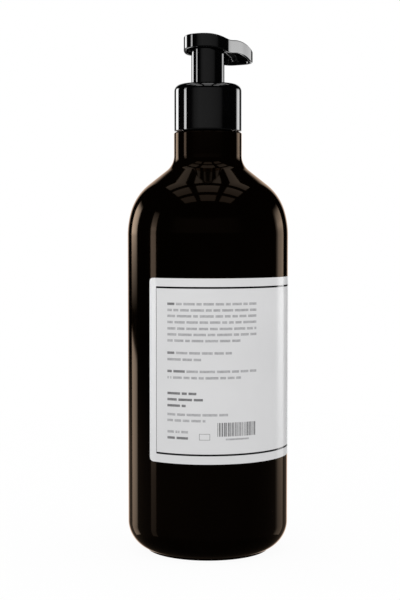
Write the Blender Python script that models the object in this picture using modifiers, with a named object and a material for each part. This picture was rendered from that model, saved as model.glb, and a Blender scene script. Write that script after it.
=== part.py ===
"""One litre conditioner bottle with a lotion pump: metres, +Z up, base centre at the origin.

The bottle stands on its foot ring. The pump's duck bill points along -Y at rest, and every turned
piece shares the Z axis. The bottle is blown, the label wraps three quarters of it, and the pump
hangs in the neck: head and stem press down 15 mm against the spring, the head also swivels, the
closure unscrews, and the whole pump draws out upwards.
"""

from math import acos, ceil, cos, pi, radians, sin, sqrt, tan

import bmesh
import bpy

# Clearances
SEAT_GAP = 0.0003
SLIDE_GAP = 0.0001
LABEL_GAP = 0.00006

# Bottle
BODY_RADIUS = 0.0425
STRAIGHT_TOP = 0.1667
HEEL_RADIUS = 0.015
FOOT_OUTER = 0.0325
FOOT_WIDTH = 0.003
DOME_HEIGHT = 0.005
BODY_WALL = 0.0008
BASE_WALL = 0.0012
UPPER_ARC_RADIUS = 0.0454
UPPER_ARC_ANGLE = radians(16.6)
SHOULDER_RADIUS = 0.0279
SHOULDER_ANGLE = radians(51.8)
NECK_FILLET = 0.0099
NECK_RADIUS = 0.0179
NECK_LENGTH = 0.0121
NECK_WALL = 0.0012
FINISH_RADIUS = 0.01275
FINISH_BORE = 0.0109
FINISH_HEIGHT = 0.0182
THREAD_HEIGHT = 0.001

# Label
LABEL_BOTTOM = 0.0515
LABEL_HEIGHT = 0.0941
LABEL_START = radians(75.9)
LABEL_LENGTH = 0.2
LABEL_CORNER = 0.0022
LABEL_THICKNESS = 0.00012

# Closure and its cover
GASKET_THICKNESS = 0.001
FLANGE_THICKNESS = 0.0012
FLANGE_RADIUS = 0.0133
CLOSURE_PLATE = 0.0014
CLOSURE_FOOT = 0.0016
COVER_RADIUS = 0.0178
COVER_WALL = 0.0013
COVER_PLATE = 0.0023
COVER_CORNER = 0.0037
COVER_FOOT = 0.0006
COVER_EDGE = 0.0003
SLEEVE_CLEARANCE = 0.00035

# Pump barrel and what it holds
BOWL_DEPTH = 0.0162
BARREL_BORE = 0.0062
BARREL_WALL = 0.0012
BARREL_LENGTH = 0.040
BALL_RADIUS = 0.0024
BALL_PLAY = 0.0006
BALL_LIFT = 0.0015
VALVE_SEAT = 0.0017
VALVE_FLOOR = 0.0014
TAIL_LENGTH = 0.014
TUBE_RADIUS = 0.00325
TUBE_BORE = 0.0024
TUBE_CLEARANCE = 0.003
TUBE_SLANT = radians(35)
CHAPLET_FLANGE = 0.0015
CHAPLET_HEIGHT = 0.0122
CHAPLET_PLUG = 0.002
GUIDE_WALL = 0.0025
GUIDE_CLEARANCE = 0.0005
PISTON_HEIGHT = 0.007
PISTON_LIP = 0.0008
PISTON_LIP_HEIGHT = 0.0014
PISTON_LIP_SLOPE = 0.0008
BALL_STOP_THICKNESS = 0.0012
SPRING_WIRE = 0.001
SPRING_RADIUS = 0.0045
SPRING_TURNS = 7
SPRING_END_GAP = 0.00005

# Stem and head
STROKE = 0.015
STEM_RADIUS = 0.0039
STEM_BORE = 0.0025
STEM_FOOT = 0.0012
STEM_PORT = 0.0011
STEM_PORT_RISE = 0.0023
HEAD_RISE = 0.0254
SLEEVE_RADIUS = 0.00877
SLEEVE_WALL = 0.0012
SLEEVE_ENTRY = 0.0017
SOCKET_WALL = 0.0015
HEAD_RADIUS = 0.0128
HEAD_WALL = 0.0013
HEAD_PLATE = 0.0014
SKIRT_HEIGHT = 0.0069
BEAK_LENGTH = 0.0345
BEAK_HALF_WIDTH = 0.0114
BEAK_TIP_START = 0.019
BEAK_TIP_POWER = 4.0
BEAK_STEP = 0.0025
BEAK_STEP_START = -0.0125
BEAK_STEP_END = 0.0015
BEAK_RISE = 0.0009
BEAK_RISE_END = 0.013
BEAK_DROOP_START = 0.0150
BEAK_DROOP_RADIUS = 0.027
BEAK_DROOP_SLOPE = 0.36
BEAK_SKIRT = 0.0067
TIP_SKIRT = 0.0049
SKIRT_FALL_START = 0.026
NOZZLE_RADIUS = 0.0023
NOZZLE_BORE = 0.0014
NOZZLE_DROP = 0.0044
NOZZLE_COVER = 0.0009
NOZZLE_REACH = 0.0300
NOZZLE_ELBOW = 0.0035
NOZZLE_RECESS = 0.0008

# How finely the round shapes are cut
BODY_FACETS = 60
NECK_FACETS = 48
PUMP_FACETS = 32
SMALL_FACETS = 24
PORT_FACETS = 12
ARC_STEP = radians(13)
LABEL_CORNER_COLUMNS = 5
BASE_RINGS = 4
HEAD_BACK_STEPS = 14
HEAD_SIDE_STEPS = 2
HEAD_TIP_STEPS = 12
HEAD_SECTION_STEPS = 22
NOZZLE_STEPS = 5
CUT_PAST = 0.003

# Colours and finishes
BOTTLE_LOOK = ((0.008, 0.005, 0.004, 1.0), 0.1, 0.0)
LABEL_LOOK = ((0.82, 0.82, 0.82, 1.0), 0.4, 0.0)
BLACK_LOOK = ((0.012, 0.012, 0.013, 1.0), 0.12, 0.0)
CLEAR_LOOK = ((0.75, 0.76, 0.76, 1.0), 0.35, 0.0)
SEAL_LOOK = ((0.80, 0.79, 0.76, 1.0), 0.5, 0.0)
STEEL_LOOK = ((0.62, 0.62, 0.60, 1.0), 0.25, 1.0)

# Levels along the axis, from the base up
UPPER_CENTRE = BODY_RADIUS - UPPER_ARC_RADIUS
SHOULDER_CENTRE = UPPER_CENTRE + (UPPER_ARC_RADIUS - SHOULDER_RADIUS) * cos(UPPER_ARC_ANGLE)
SHOULDER_LEVEL = STRAIGHT_TOP + (UPPER_ARC_RADIUS - SHOULDER_RADIUS) * sin(UPPER_ARC_ANGLE)
SLOPE_START_R = SHOULDER_CENTRE + SHOULDER_RADIUS * cos(SHOULDER_ANGLE)
SLOPE_START_Z = SHOULDER_LEVEL + SHOULDER_RADIUS * sin(SHOULDER_ANGLE)
FILLET_CENTRE = NECK_RADIUS + NECK_FILLET
SLOPE_END_R = FILLET_CENTRE - NECK_FILLET * cos(SHOULDER_ANGLE)
SLOPE_END_Z = SLOPE_START_Z + (SLOPE_START_R - SLOPE_END_R) / tan(SHOULDER_ANGLE)
FILLET_LEVEL = SLOPE_END_Z + NECK_FILLET * sin(SHOULDER_ANGLE)
NECK_TOP = FILLET_LEVEL + NECK_LENGTH
MOUTH = NECK_TOP + FINISH_HEIGHT
GASKET_BOTTOM = MOUTH + SEAT_GAP
FLANGE_BOTTOM = GASKET_BOTTOM + GASKET_THICKNESS + SEAT_GAP
FLANGE_TOP = FLANGE_BOTTOM + FLANGE_THICKNESS
CLOSURE_PLATE_BOTTOM = FLANGE_TOP + SEAT_GAP
COVER_PLATE_BOTTOM = CLOSURE_PLATE_BOTTOM + CLOSURE_PLATE + SEAT_GAP
COVER_TOP = COVER_PLATE_BOTTOM + COVER_PLATE
BOWL_FLOOR = FLANGE_TOP - BOWL_DEPTH
CHAPLET_BOTTOM = BOWL_FLOOR + SEAT_GAP
PISTON_TOP = CHAPLET_BOTTOM - CHAPLET_PLUG - SEAT_GAP
PISTON_BOTTOM = PISTON_TOP - PISTON_HEIGHT
STEM_BOTTOM = PISTON_BOTTOM - SEAT_GAP - STEM_FOOT
BARREL_FLOOR = BOWL_FLOOR - BARREL_LENGTH
BALL_STOP_BOTTOM = BARREL_FLOOR + SEAT_GAP
SPRING_BOTTOM = BALL_STOP_BOTTOM + BALL_STOP_THICKNESS + SEAT_GAP
SPRING_TOP = STEM_BOTTOM - SEAT_GAP
BALL_SEAT_HEIGHT = sqrt(BALL_RADIUS ** 2 - VALVE_SEAT ** 2) + SLIDE_GAP
BALL_HEADROOM = BALL_LIFT + SEAT_GAP
VALVE_LEVEL = BALL_STOP_BOTTOM - BALL_HEADROOM - BALL_RADIUS - BALL_SEAT_HEIGHT
TAIL_TOP = VALVE_LEVEL - VALVE_FLOOR
HEAD_TOP = COVER_TOP + HEAD_RISE
SLEEVE_BOTTOM = COVER_TOP - SLEEVE_ENTRY
NOZZLE_LEVEL = HEAD_TOP - NOZZLE_DROP
STEM_TOP = NOZZLE_LEVEL - NOZZLE_BORE - SEAT_GAP
SOCKET_BOTTOM = CHAPLET_BOTTOM + CHAPLET_HEIGHT + STROKE + 2 * SEAT_GAP

# Radii that follow from what they fit
HEEL_CENTRE = BODY_RADIUS - HEEL_RADIUS
FOOT_ANGLE = acos((FOOT_OUTER - HEEL_CENTRE) / HEEL_RADIUS)
HEEL_LEVEL = HEEL_RADIUS
FOOT_INNER = FOOT_OUTER - FOOT_WIDTH
SLEEVE_HOLE = SLEEVE_RADIUS + SLEEVE_CLEARANCE
BOWL_RADIUS = FINISH_BORE - SEAT_GAP
BOWL_BORE = BOWL_RADIUS - BARREL_WALL
CLOSURE_RADIUS = COVER_RADIUS - COVER_WALL - SEAT_GAP
CLOSURE_BORE = FINISH_RADIUS + THREAD_HEIGHT + SEAT_GAP
SOCKET_BORE = STEM_RADIUS + SEAT_GAP
SOCKET_RADIUS = SOCKET_BORE + SOCKET_WALL
GUIDE_BORE = STEM_RADIUS + GUIDE_CLEARANCE
TAIL_BORE = TUBE_RADIUS + SEAT_GAP
TAIL_RADIUS = TAIL_BORE + BARREL_WALL
BALL_CHAMBER = BALL_RADIUS + BALL_PLAY


def clear_scene():
    for obj in list(bpy.data.objects):
        bpy.data.objects.remove(obj, do_unlink=True)


def new_collection(name):
    collection = bpy.data.collections.new(name)
    bpy.context.scene.collection.children.link(collection)
    return collection


clear_scene()
PARTS = new_collection("conditioner_bottle")
CUTTERS = new_collection("cutters")


def material(name, look):
    colour, roughness, metallic = look
    mat = bpy.data.materials.new(name)
    mat.use_nodes = True
    shader = mat.node_tree.nodes["Principled BSDF"]
    shader.inputs["Base Color"].default_value = colour
    shader.inputs["Roughness"].default_value = roughness
    shader.inputs["Metallic"].default_value = metallic
    return mat


def carrier(name, level, parent=None):
    """An empty on the axis, where a joint moves the pieces below it."""
    empty = bpy.data.objects.new(name, None)
    empty.empty_display_size = 0.01
    PARTS.objects.link(empty)
    return hang(empty, level, parent)


def hang(obj, level, parent):
    """Put an object on the axis at a level above the base, under its carrier."""
    obj.parent = parent
    base = 0.0
    above = parent
    while above:
        base += above.location.z
        above = above.parent
    obj.location = (0.0, 0.0, level - base)
    return obj


def add_object(name, mesh, look=None):
    """A visible piece when it has a look, otherwise a cutter."""
    obj = bpy.data.objects.new(name, mesh)
    if look:
        mesh.materials.clear()
        mesh.materials.append(material(name, look))
        PARTS.objects.link(obj)
    else:
        obj.hide_render = True
        obj.display_type = "WIRE"
        CUTTERS.objects.link(obj)
    return obj


def arc(centre_r, centre_z, radius, start, end):
    """Points on an arc in the (r, z) plane, both ends included."""
    steps = max(2, ceil(abs(end - start) / ARC_STEP))
    angles = [start + (end - start) * i / steps for i in range(steps + 1)]
    return [(centre_r + radius * cos(a), centre_z + radius * sin(a)) for a in angles]


def turned(name, profile, facets, look=None, base=0.0, open_ends=False):
    """Turn an (r, z) profile about Z. It runs down the outer side, and closes unless open_ends."""
    bm = bmesh.new()
    verts = [bm.verts.new((r, 0.0, z - base)) for r, z in profile]
    for first, second in zip(verts, verts[1:]):
        bm.edges.new((first, second))
    if not open_ends:
        bm.edges.new((verts[-1], verts[0]))
    mesh = bpy.data.meshes.new(name)
    bm.to_mesh(mesh)
    bm.free()
    obj = add_object(name, mesh, look)
    screw = obj.modifiers.new("turn", "SCREW")
    screw.axis = "Z"
    screw.steps = facets
    screw.render_steps = facets
    screw.use_merge_vertices = True
    screw.merge_threshold = 0.000001
    screw.use_smooth_shade = True
    return obj


def tube(name, outer, bore, bottom, top, facets, look=None, base=0.0):
    profile = [(outer, top), (outer, bottom), (bore, bottom), (bore, top)]
    return turned(name, profile, facets, look, base)


def rod(name, radius, bottom, top, facets, base=0.0):
    profile = [(0.0, top), (radius, top), (radius, bottom), (0.0, bottom)]
    return turned(name, profile, facets, None, base, open_ends=True)


def boolean(obj, other, operation):
    modifier = obj.modifiers.new(operation.lower() + "_" + other.name, "BOOLEAN")
    modifier.operation = operation
    modifier.solver = "EXACT"
    modifier.object = other
    return obj


def curve_to_mesh(name, curve, rotation=(0.0, 0.0, 0.0), look=None):
    """Turn a curve into a closed mesh object and drop the curve."""
    temp = bpy.data.objects.new(name + "_curve", curve)
    temp.rotation_euler = rotation
    bpy.context.scene.collection.objects.link(temp)
    bpy.context.view_layer.update()
    depsgraph = bpy.context.evaluated_depsgraph_get()
    mesh = bpy.data.meshes.new_from_object(temp.evaluated_get(depsgraph))
    mesh.transform(temp.matrix_world)
    bpy.data.objects.remove(temp, do_unlink=True)
    bm = bmesh.new()
    bm.from_mesh(mesh)
    bmesh.ops.remove_doubles(bm, verts=bm.verts, dist=0.000002)
    bmesh.ops.recalc_face_normals(bm, faces=bm.faces)
    bm.to_mesh(mesh)
    bm.free()
    return add_object(name, mesh, look)


def flat_curve(name, outline, half_thickness):
    """A closed outline in its own plane, thickened both ways."""
    curve = bpy.data.curves.new(name, "CURVE")
    curve.dimensions = "2D"
    curve.fill_mode = "BOTH"
    curve.extrude = half_thickness
    spline = curve.splines.new("POLY")
    spline.points.add(len(outline) - 1)
    for point, (x, y) in zip(spline.points, outline):
        point.co = (x, y, 0.0, 1.0)
    spline.use_cyclic_u = True
    return curve


def wire_curve(name, points, radius, resolution):
    """A round bar along a list of points, with filled ends."""
    curve = bpy.data.curves.new(name, "CURVE")
    curve.dimensions = "3D"
    curve.bevel_depth = radius
    curve.bevel_resolution = resolution
    curve.use_fill_caps = True
    spline = curve.splines.new("POLY")
    spline.points.add(len(points) - 1)
    for point, co in zip(spline.points, points):
        point.co = (*co, 1.0)
    return curve


def bottle_side(inset):
    """The bottle's side from under the neck's top down to the foot, moved inwards by the wall."""
    side = [(NECK_RADIUS - inset, NECK_TOP - inset)]
    side += arc(FILLET_CENTRE, FILLET_LEVEL, NECK_FILLET + inset, pi, pi + SHOULDER_ANGLE)
    side += arc(SHOULDER_CENTRE, SHOULDER_LEVEL, SHOULDER_RADIUS - inset, SHOULDER_ANGLE, UPPER_ARC_ANGLE)
    side += arc(UPPER_CENTRE, STRAIGHT_TOP, UPPER_ARC_RADIUS - inset, UPPER_ARC_ANGLE, 0.0)[1:]
    side.append((BODY_RADIUS - inset, LABEL_BOTTOM + LABEL_HEIGHT / 2))
    side += arc(HEEL_CENTRE, HEEL_LEVEL, HEEL_RADIUS - inset, 0.0, -FOOT_ANGLE)
    return side


def bottle_base(lift, outermost):
    """The pushed up base from the foot ring to the axis, lifted by the base's thickness."""
    radii = [outermost * (BASE_RINGS - i) / BASE_RINGS for i in range(BASE_RINGS + 1)]
    return [(r, lift + DOME_HEIGHT * (1.0 - (r / outermost) ** 2)) for r in radii]


def make_bottle():
    outside = [(FINISH_BORE, MOUTH), (FINISH_RADIUS, MOUTH), (FINISH_RADIUS, NECK_TOP)]
    outside += bottle_side(0.0)
    outside.append((FOOT_OUTER, 0.0))
    outside += bottle_base(0.0, FOOT_INNER)
    ledge = NECK_TOP - NECK_WALL
    inside = [(FINISH_BORE, ledge), (NECK_RADIUS - NECK_WALL, ledge)]
    inside += bottle_side(BODY_WALL)[1:]
    inside += bottle_base(BASE_WALL, HEEL_CENTRE)
    profile = list(reversed(inside)) + outside
    return turned("bottle", profile, BODY_FACETS, BOTTLE_LOOK, open_ends=True)


def make_label():
    """A grid bent round the wall, its end columns shortened to round the corners."""
    inner = (BODY_RADIUS + LABEL_GAP) / cos(pi / BODY_FACETS)
    columns = BODY_FACETS
    stops = []
    for i in range(LABEL_CORNER_COLUMNS + 1):
        stops.append(LABEL_CORNER * (1.0 - cos(pi / 2 * i / LABEL_CORNER_COLUMNS)))
    middle = columns - 2 * LABEL_CORNER_COLUMNS
    for i in range(1, middle):
        stops.append(LABEL_CORNER + (LABEL_LENGTH - 2 * LABEL_CORNER) * i / middle)
    stops += [LABEL_LENGTH - s for s in reversed(stops[:LABEL_CORNER_COLUMNS + 1])]
    mesh = bpy.data.meshes.new("label")
    bm = bmesh.new()
    bmesh.ops.create_grid(bm, x_segments=columns, y_segments=1, size=0.5)
    for vert in bm.verts:
        along = stops[round((vert.co.x + 0.5) * columns)]
        upper = vert.co.y > 0.0
        end = min(along, LABEL_LENGTH - along)
        shy = max(0.0, LABEL_CORNER - end)
        cut = LABEL_CORNER - sqrt(LABEL_CORNER ** 2 - shy ** 2)
        angle = LABEL_START + along / BODY_RADIUS
        level = LABEL_HEIGHT - cut if upper else cut
        vert.co = (inner * cos(angle), inner * sin(angle), level)
    bmesh.ops.remove_doubles(bm, verts=bm.verts, dist=0.000001)
    bmesh.ops.recalc_face_normals(bm, faces=bm.faces)
    outward = bm.faces[:][columns // 2]
    if outward.normal.dot(outward.calc_center_median()) < 0.0:
        bmesh.ops.reverse_faces(bm, faces=bm.faces)
    bm.to_mesh(mesh)
    bm.free()
    obj = add_object("label", mesh, LABEL_LOOK)
    solid = obj.modifiers.new("thickness", "SOLIDIFY")
    solid.thickness = LABEL_THICKNESS
    solid.offset = 1.0
    solid.use_even_offset = True
    return hang(obj, LABEL_BOTTOM, None)


def make_collar_cover(parent):
    foot = NECK_TOP + COVER_FOOT
    corner = arc(COVER_RADIUS - COVER_CORNER, COVER_TOP - COVER_CORNER, COVER_CORNER, pi / 2, 0.0)
    bore = COVER_RADIUS - COVER_WALL
    profile = [(SLEEVE_HOLE, COVER_TOP - COVER_EDGE), (SLEEVE_HOLE + COVER_EDGE, COVER_TOP)]
    profile += corner
    profile += [(COVER_RADIUS, foot + COVER_EDGE), (COVER_RADIUS - COVER_EDGE, foot), (bore, foot)]
    profile += [(bore, COVER_PLATE_BOTTOM), (SLEEVE_HOLE, COVER_PLATE_BOTTOM)]
    cover = turned("collar_cover", profile, NECK_FACETS, BLACK_LOOK, foot)
    return hang(cover, foot, parent)


def make_screw_closure(parent):
    foot = NECK_TOP + CLOSURE_FOOT
    top = CLOSURE_PLATE_BOTTOM + CLOSURE_PLATE
    profile = [(SLEEVE_HOLE, top), (CLOSURE_RADIUS, top), (CLOSURE_RADIUS, foot), (CLOSURE_BORE, foot)]
    profile += [(CLOSURE_BORE, CLOSURE_PLATE_BOTTOM), (SLEEVE_HOLE, CLOSURE_PLATE_BOTTOM)]
    closure = turned("screw_closure", profile, NECK_FACETS, BLACK_LOOK, foot)
    return hang(closure, foot, parent)


def make_gasket(parent):
    bore = BOWL_RADIUS + SEAT_GAP
    top = GASKET_BOTTOM + GASKET_THICKNESS
    gasket = tube("gasket", FLANGE_RADIUS, bore, GASKET_BOTTOM, top, NECK_FACETS, SEAL_LOOK, GASKET_BOTTOM)
    return hang(gasket, GASKET_BOTTOM, parent)


def make_pump_housing(parent):
    """Flange, bowl, barrel, ball chamber and the tail that grips the dip tube, in one piece."""
    barrel = BARREL_BORE + BARREL_WALL
    chamber = BALL_CHAMBER + BARREL_WALL
    tail_bottom = TAIL_TOP - TAIL_LENGTH
    profile = [(BOWL_BORE, FLANGE_TOP), (FLANGE_RADIUS, FLANGE_TOP), (FLANGE_RADIUS, FLANGE_BOTTOM)]
    profile += [(BOWL_RADIUS, FLANGE_BOTTOM), (BOWL_RADIUS, BOWL_FLOOR), (barrel, BOWL_FLOOR - BARREL_WALL)]
    profile += [(barrel, BARREL_FLOOR), (max(chamber, TAIL_RADIUS), BARREL_FLOOR - BARREL_WALL)]
    profile += [(TAIL_RADIUS, TAIL_TOP), (TAIL_RADIUS, tail_bottom), (TAIL_BORE, tail_bottom)]
    profile += [(TAIL_BORE, TAIL_TOP), (VALVE_SEAT, TAIL_TOP), (VALVE_SEAT, VALVE_LEVEL)]
    profile += [(BALL_CHAMBER, VALVE_LEVEL + BALL_SEAT_HEIGHT / 2), (BALL_CHAMBER, BARREL_FLOOR)]
    profile += [(BARREL_BORE, BARREL_FLOOR), (BARREL_BORE, BOWL_FLOOR), (BOWL_BORE, BOWL_FLOOR)]
    housing = turned("pump_housing", profile, PUMP_FACETS, CLEAR_LOOK, FLANGE_BOTTOM)
    return hang(housing, FLANGE_BOTTOM, parent)


def make_chaplet(parent):
    """The guide that snaps into the bowl and keeps stem and piston in."""
    flange = BOWL_BORE - SEAT_GAP
    flange_top = CHAPLET_BOTTOM + CHAPLET_FLANGE
    plug = BARREL_BORE - SEAT_GAP
    plug_bottom = CHAPLET_BOTTOM - CHAPLET_PLUG
    guide = GUIDE_BORE + GUIDE_WALL
    top = CHAPLET_BOTTOM + CHAPLET_HEIGHT
    profile = [(GUIDE_BORE, top), (guide, top), (guide, flange_top), (flange, flange_top)]
    profile += [(flange, CHAPLET_BOTTOM), (plug, CHAPLET_BOTTOM), (plug, plug_bottom)]
    profile += [(GUIDE_BORE, plug_bottom)]
    chaplet = turned("chaplet", profile, PUMP_FACETS, CLEAR_LOOK, CHAPLET_BOTTOM)
    return hang(chaplet, CHAPLET_BOTTOM, parent)


def make_ball_stop(parent):
    """A slotted disc over the ball chamber: the spring stands on it."""
    rim = BARREL_BORE - SEAT_GAP
    top = BALL_STOP_BOTTOM + BALL_STOP_THICKNESS
    bottom = BALL_STOP_BOTTOM
    stop = tube("ball_stop", rim, VALVE_SEAT, bottom, top, PUMP_FACETS, CLEAR_LOOK, bottom)
    hang(stop, bottom, parent)
    port = (BALL_CHAMBER - VALVE_SEAT) / 2
    for i in range(4):
        angle = pi / 2 * i + pi / 4
        drill = rod("ball_stop_port_%d" % i, port, -SEAT_GAP, BALL_STOP_THICKNESS + SEAT_GAP, PORT_FACETS)
        drill.parent = stop
        drill.location = (BALL_CHAMBER * cos(angle), BALL_CHAMBER * sin(angle), 0.0)
        boolean(stop, drill, "DIFFERENCE")
    return stop


def make_valve_ball(parent):
    mesh = bpy.data.meshes.new("valve_ball")
    bm = bmesh.new()
    bmesh.ops.create_uvsphere(bm, u_segments=SMALL_FACETS, v_segments=PORT_FACETS, radius=BALL_RADIUS)
    for face in bm.faces:
        face.smooth = True
    bm.to_mesh(mesh)
    bm.free()
    ball = add_object("valve_ball", mesh, STEEL_LOOK)
    return hang(ball, VALVE_LEVEL + BALL_SEAT_HEIGHT, parent)


def make_dip_tube(parent):
    """A straight tube whose lower end is cut on the slant, so that it can't seal on the floor."""
    top = TAIL_TOP - SEAT_GAP
    bottom = BASE_WALL + DOME_HEIGHT + TUBE_CLEARANCE
    dip = tube("dip_tube", TUBE_RADIUS, TUBE_BORE, bottom, top, SMALL_FACETS, CLEAR_LOOK, top)
    hang(dip, top, parent)
    reach = TUBE_RADIUS / cos(TUBE_SLANT) + CUT_PAST
    mesh = bpy.data.meshes.new("dip_tube_slant")
    bm = bmesh.new()
    bmesh.ops.create_cube(bm, size=2 * reach)
    bm.to_mesh(mesh)
    bm.free()
    slant = add_object("dip_tube_slant", mesh)
    slant.parent = dip
    slant.rotation_euler = (TUBE_SLANT, 0.0, 0.0)
    middle = bottom - top + TUBE_RADIUS * tan(TUBE_SLANT)
    slant.location = (0.0, reach * sin(TUBE_SLANT), middle - reach * cos(TUBE_SLANT))
    return boolean(dip, slant, "DIFFERENCE")


def make_spring(parent):
    """A closed coil whose first and last turns lie flat."""
    points_a_turn = PORT_FACETS
    total = SPRING_TURNS * points_a_turn
    height = SPRING_TOP - SPRING_BOTTOM - SPRING_WIRE
    flat = 1.0 / SPRING_TURNS
    closed_rise = SPRING_WIRE + SPRING_END_GAP
    points = []
    for i in range(total + 1):
        share = i / total
        angle = 2 * pi * SPRING_TURNS * share
        if share < flat:
            level = closed_rise * share / flat
        elif share > 1.0 - flat:
            level = height - closed_rise * (1.0 - share) / flat
        else:
            level = closed_rise + (height - 2 * closed_rise) * (share - flat) / (1.0 - 2 * flat)
        points.append((SPRING_RADIUS * cos(angle), SPRING_RADIUS * sin(angle), level + SPRING_WIRE / 2))
    curve = wire_curve("spring", points, SPRING_WIRE / 2, 2)
    spring = curve_to_mesh("spring", curve, look=STEEL_LOOK)
    return hang(spring, SPRING_BOTTOM, parent)


def make_piston_seal(parent):
    """A ring with thin lips above and below, which rub on the barrel."""
    rim = BARREL_BORE - SLIDE_GAP
    bore = STEM_RADIUS + SEAT_GAP
    waist = rim - PISTON_LIP
    root = PISTON_LIP_HEIGHT + PISTON_LIP_SLOPE
    profile = [(bore, PISTON_TOP), (rim, PISTON_TOP), (rim, PISTON_TOP - PISTON_LIP_HEIGHT)]
    profile += [(waist, PISTON_TOP - root), (waist, PISTON_BOTTOM + root)]
    profile += [(rim, PISTON_BOTTOM + PISTON_LIP_HEIGHT), (rim, PISTON_BOTTOM), (bore, PISTON_BOTTOM)]
    piston = turned("piston_seal", profile, PUMP_FACETS, SEAL_LOOK, PISTON_BOTTOM)
    return hang(piston, PISTON_BOTTOM, parent)


def make_stem(parent):
    """A tube closed at its foot, with side ports that the piston covers at rest."""
    foot_radius = SPRING_RADIUS + SPRING_WIRE / 2
    foot_top = STEM_BOTTOM + STEM_FOOT
    port_level = PISTON_BOTTOM + STEM_PORT_RISE
    bore_floor = port_level - STEM_PORT
    profile = [(STEM_BORE, STEM_TOP), (STEM_RADIUS, STEM_TOP), (STEM_RADIUS, foot_top)]
    profile += [(foot_radius, foot_top), (foot_radius, STEM_BOTTOM), (0.0, STEM_BOTTOM)]
    profile = [(0.0, bore_floor), (STEM_BORE, bore_floor)] + profile
    stem = turned("stem", profile, SMALL_FACETS, BLACK_LOOK, STEM_BOTTOM, open_ends=True)
    hang(stem, STEM_BOTTOM, parent)
    port = rod("stem_port", STEM_PORT, -STEM_RADIUS - CUT_PAST, STEM_RADIUS + CUT_PAST, PORT_FACETS)
    port.parent = stem
    port.rotation_euler = (pi / 2, 0.0, 0.0)
    port.location = (0.0, 0.0, port_level - STEM_BOTTOM)
    return boolean(stem, port, "DIFFERENCE")


def smooth_step(value, start, end):
    share = min(1.0, max(0.0, (value - start) / (end - start)))
    return share * share * (3.0 - 2.0 * share)


def beak_top(reach):
    """Height of the head's top edge below its highest point, at a distance along the beak."""
    drop = BEAK_STEP * smooth_step(reach, BEAK_STEP_START, BEAK_STEP_END)
    drop -= BEAK_RISE * smooth_step(reach, BEAK_STEP_END, BEAK_RISE_END)
    past = max(0.0, reach - BEAK_DROOP_START)
    bend = BEAK_DROOP_RADIUS * BEAK_DROOP_SLOPE
    if past < bend:
        return drop + past * past / (2 * BEAK_DROOP_RADIUS)
    return drop + bend * BEAK_DROOP_SLOPE / 2 + (past - bend) * BEAK_DROOP_SLOPE


def skirt(reach):
    """Height of the head's side wall at a distance along the beak."""
    near = smooth_step(reach, BEAK_STEP_START, BEAK_STEP_END)
    far = smooth_step(reach, SKIRT_FALL_START, BEAK_LENGTH)
    return SKIRT_HEIGHT + (BEAK_SKIRT - SKIRT_HEIGHT) * near + (TIP_SKIRT - BEAK_SKIRT) * far


def beak_half_width(reach):
    blend = smooth_step(reach, 0.0, BEAK_TIP_START)
    width = HEAD_RADIUS + (BEAK_HALF_WIDTH - HEAD_RADIUS) * blend
    if reach <= BEAK_TIP_START:
        return width
    share = min(1.0, (reach - BEAK_TIP_START) / (BEAK_LENGTH - BEAK_TIP_START))
    return width * (1.0 - share ** BEAK_TIP_POWER) ** (1.0 / BEAK_TIP_POWER)


def head_outline(inset):
    """The head seen from above: a round back and a beak along -Y, moved inwards by the wall."""
    outline = []
    for i in range(HEAD_BACK_STEPS + 1):
        angle = pi * i / HEAD_BACK_STEPS
        outline.append(((HEAD_RADIUS - inset) * cos(angle), (HEAD_RADIUS - inset) * sin(angle)))
    side = []
    for i in range(1, HEAD_SIDE_STEPS + 1):
        reach = BEAK_TIP_START * i / (HEAD_SIDE_STEPS + 1)
        side.append((beak_half_width(reach) - inset, reach))
    for i in range(HEAD_TIP_STEPS + 1):
        turn = pi / 2 * i / HEAD_TIP_STEPS
        reach = BEAK_TIP_START + (BEAK_LENGTH - BEAK_TIP_START) * sin(turn)
        side.append((beak_half_width(reach) - inset * cos(turn), reach - inset * sin(turn)))
    left = [(-width, -reach) for width, reach in side]
    right = [(width, -reach) for width, reach in reversed(side[:-1])]
    return outline + left + right


def head_section(lower_top, bottom):
    """The head seen from the side, as (y, z): its top edge lowered, its foot level or the skirt's edge."""
    start = -HEAD_RADIUS - CUT_PAST
    length = BEAK_LENGTH + CUT_PAST - start
    reaches = [start + length * i / HEAD_SECTION_STEPS for i in range(HEAD_SECTION_STEPS + 1)]
    upper = [(-reach, -beak_top(reach) - lower_top) for reach in reaches]
    if bottom is None:
        lower = [(-reach, -beak_top(reach) - skirt(reach)) for reach in reversed(reaches)]
    else:
        lower = [(-reaches[-1], bottom), (-start, bottom)]
    return upper + lower


def side_prism(name, lower_top, bottom):
    outline = head_section(lower_top, bottom)
    curve = flat_curve(name, outline, 2 * HEAD_RADIUS)
    return curve_to_mesh(name, curve, (pi / 2, 0.0, pi / 2))


def nozzle_height(reach):
    """Height of the nozzle's centre line, level at first and then kept under the drooping top."""
    return -max(NOZZLE_DROP, beak_top(reach) + NOZZLE_COVER + NOZZLE_BORE)


def nozzle_route(extra):
    """The nozzle's centre line from the socket to its outlet under the tip, as (0, y, z)."""
    outlet = -beak_top(NOZZLE_REACH) - skirt(NOZZLE_REACH) + NOZZLE_RECESS
    bend = NOZZLE_REACH - NOZZLE_ELBOW
    points = [(0.0, 0.0, nozzle_height(0.0))]
    for i in range(NOZZLE_STEPS + 1):
        reach = BEAK_DROOP_START + (bend - BEAK_DROOP_START) * i / NOZZLE_STEPS
        points.append((0.0, -reach, nozzle_height(reach)))
    start = points[-1][2]
    for i in range(1, NOZZLE_STEPS + 1):
        turn = pi / 2 * i / NOZZLE_STEPS
        reach = bend + NOZZLE_ELBOW * sin(turn)
        points.append((0.0, -reach, start + (outlet - start) * (1.0 - cos(turn))))
    if extra:
        points.append((0.0, points[-1][1], points[-1][2] - extra))
    return points


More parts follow.
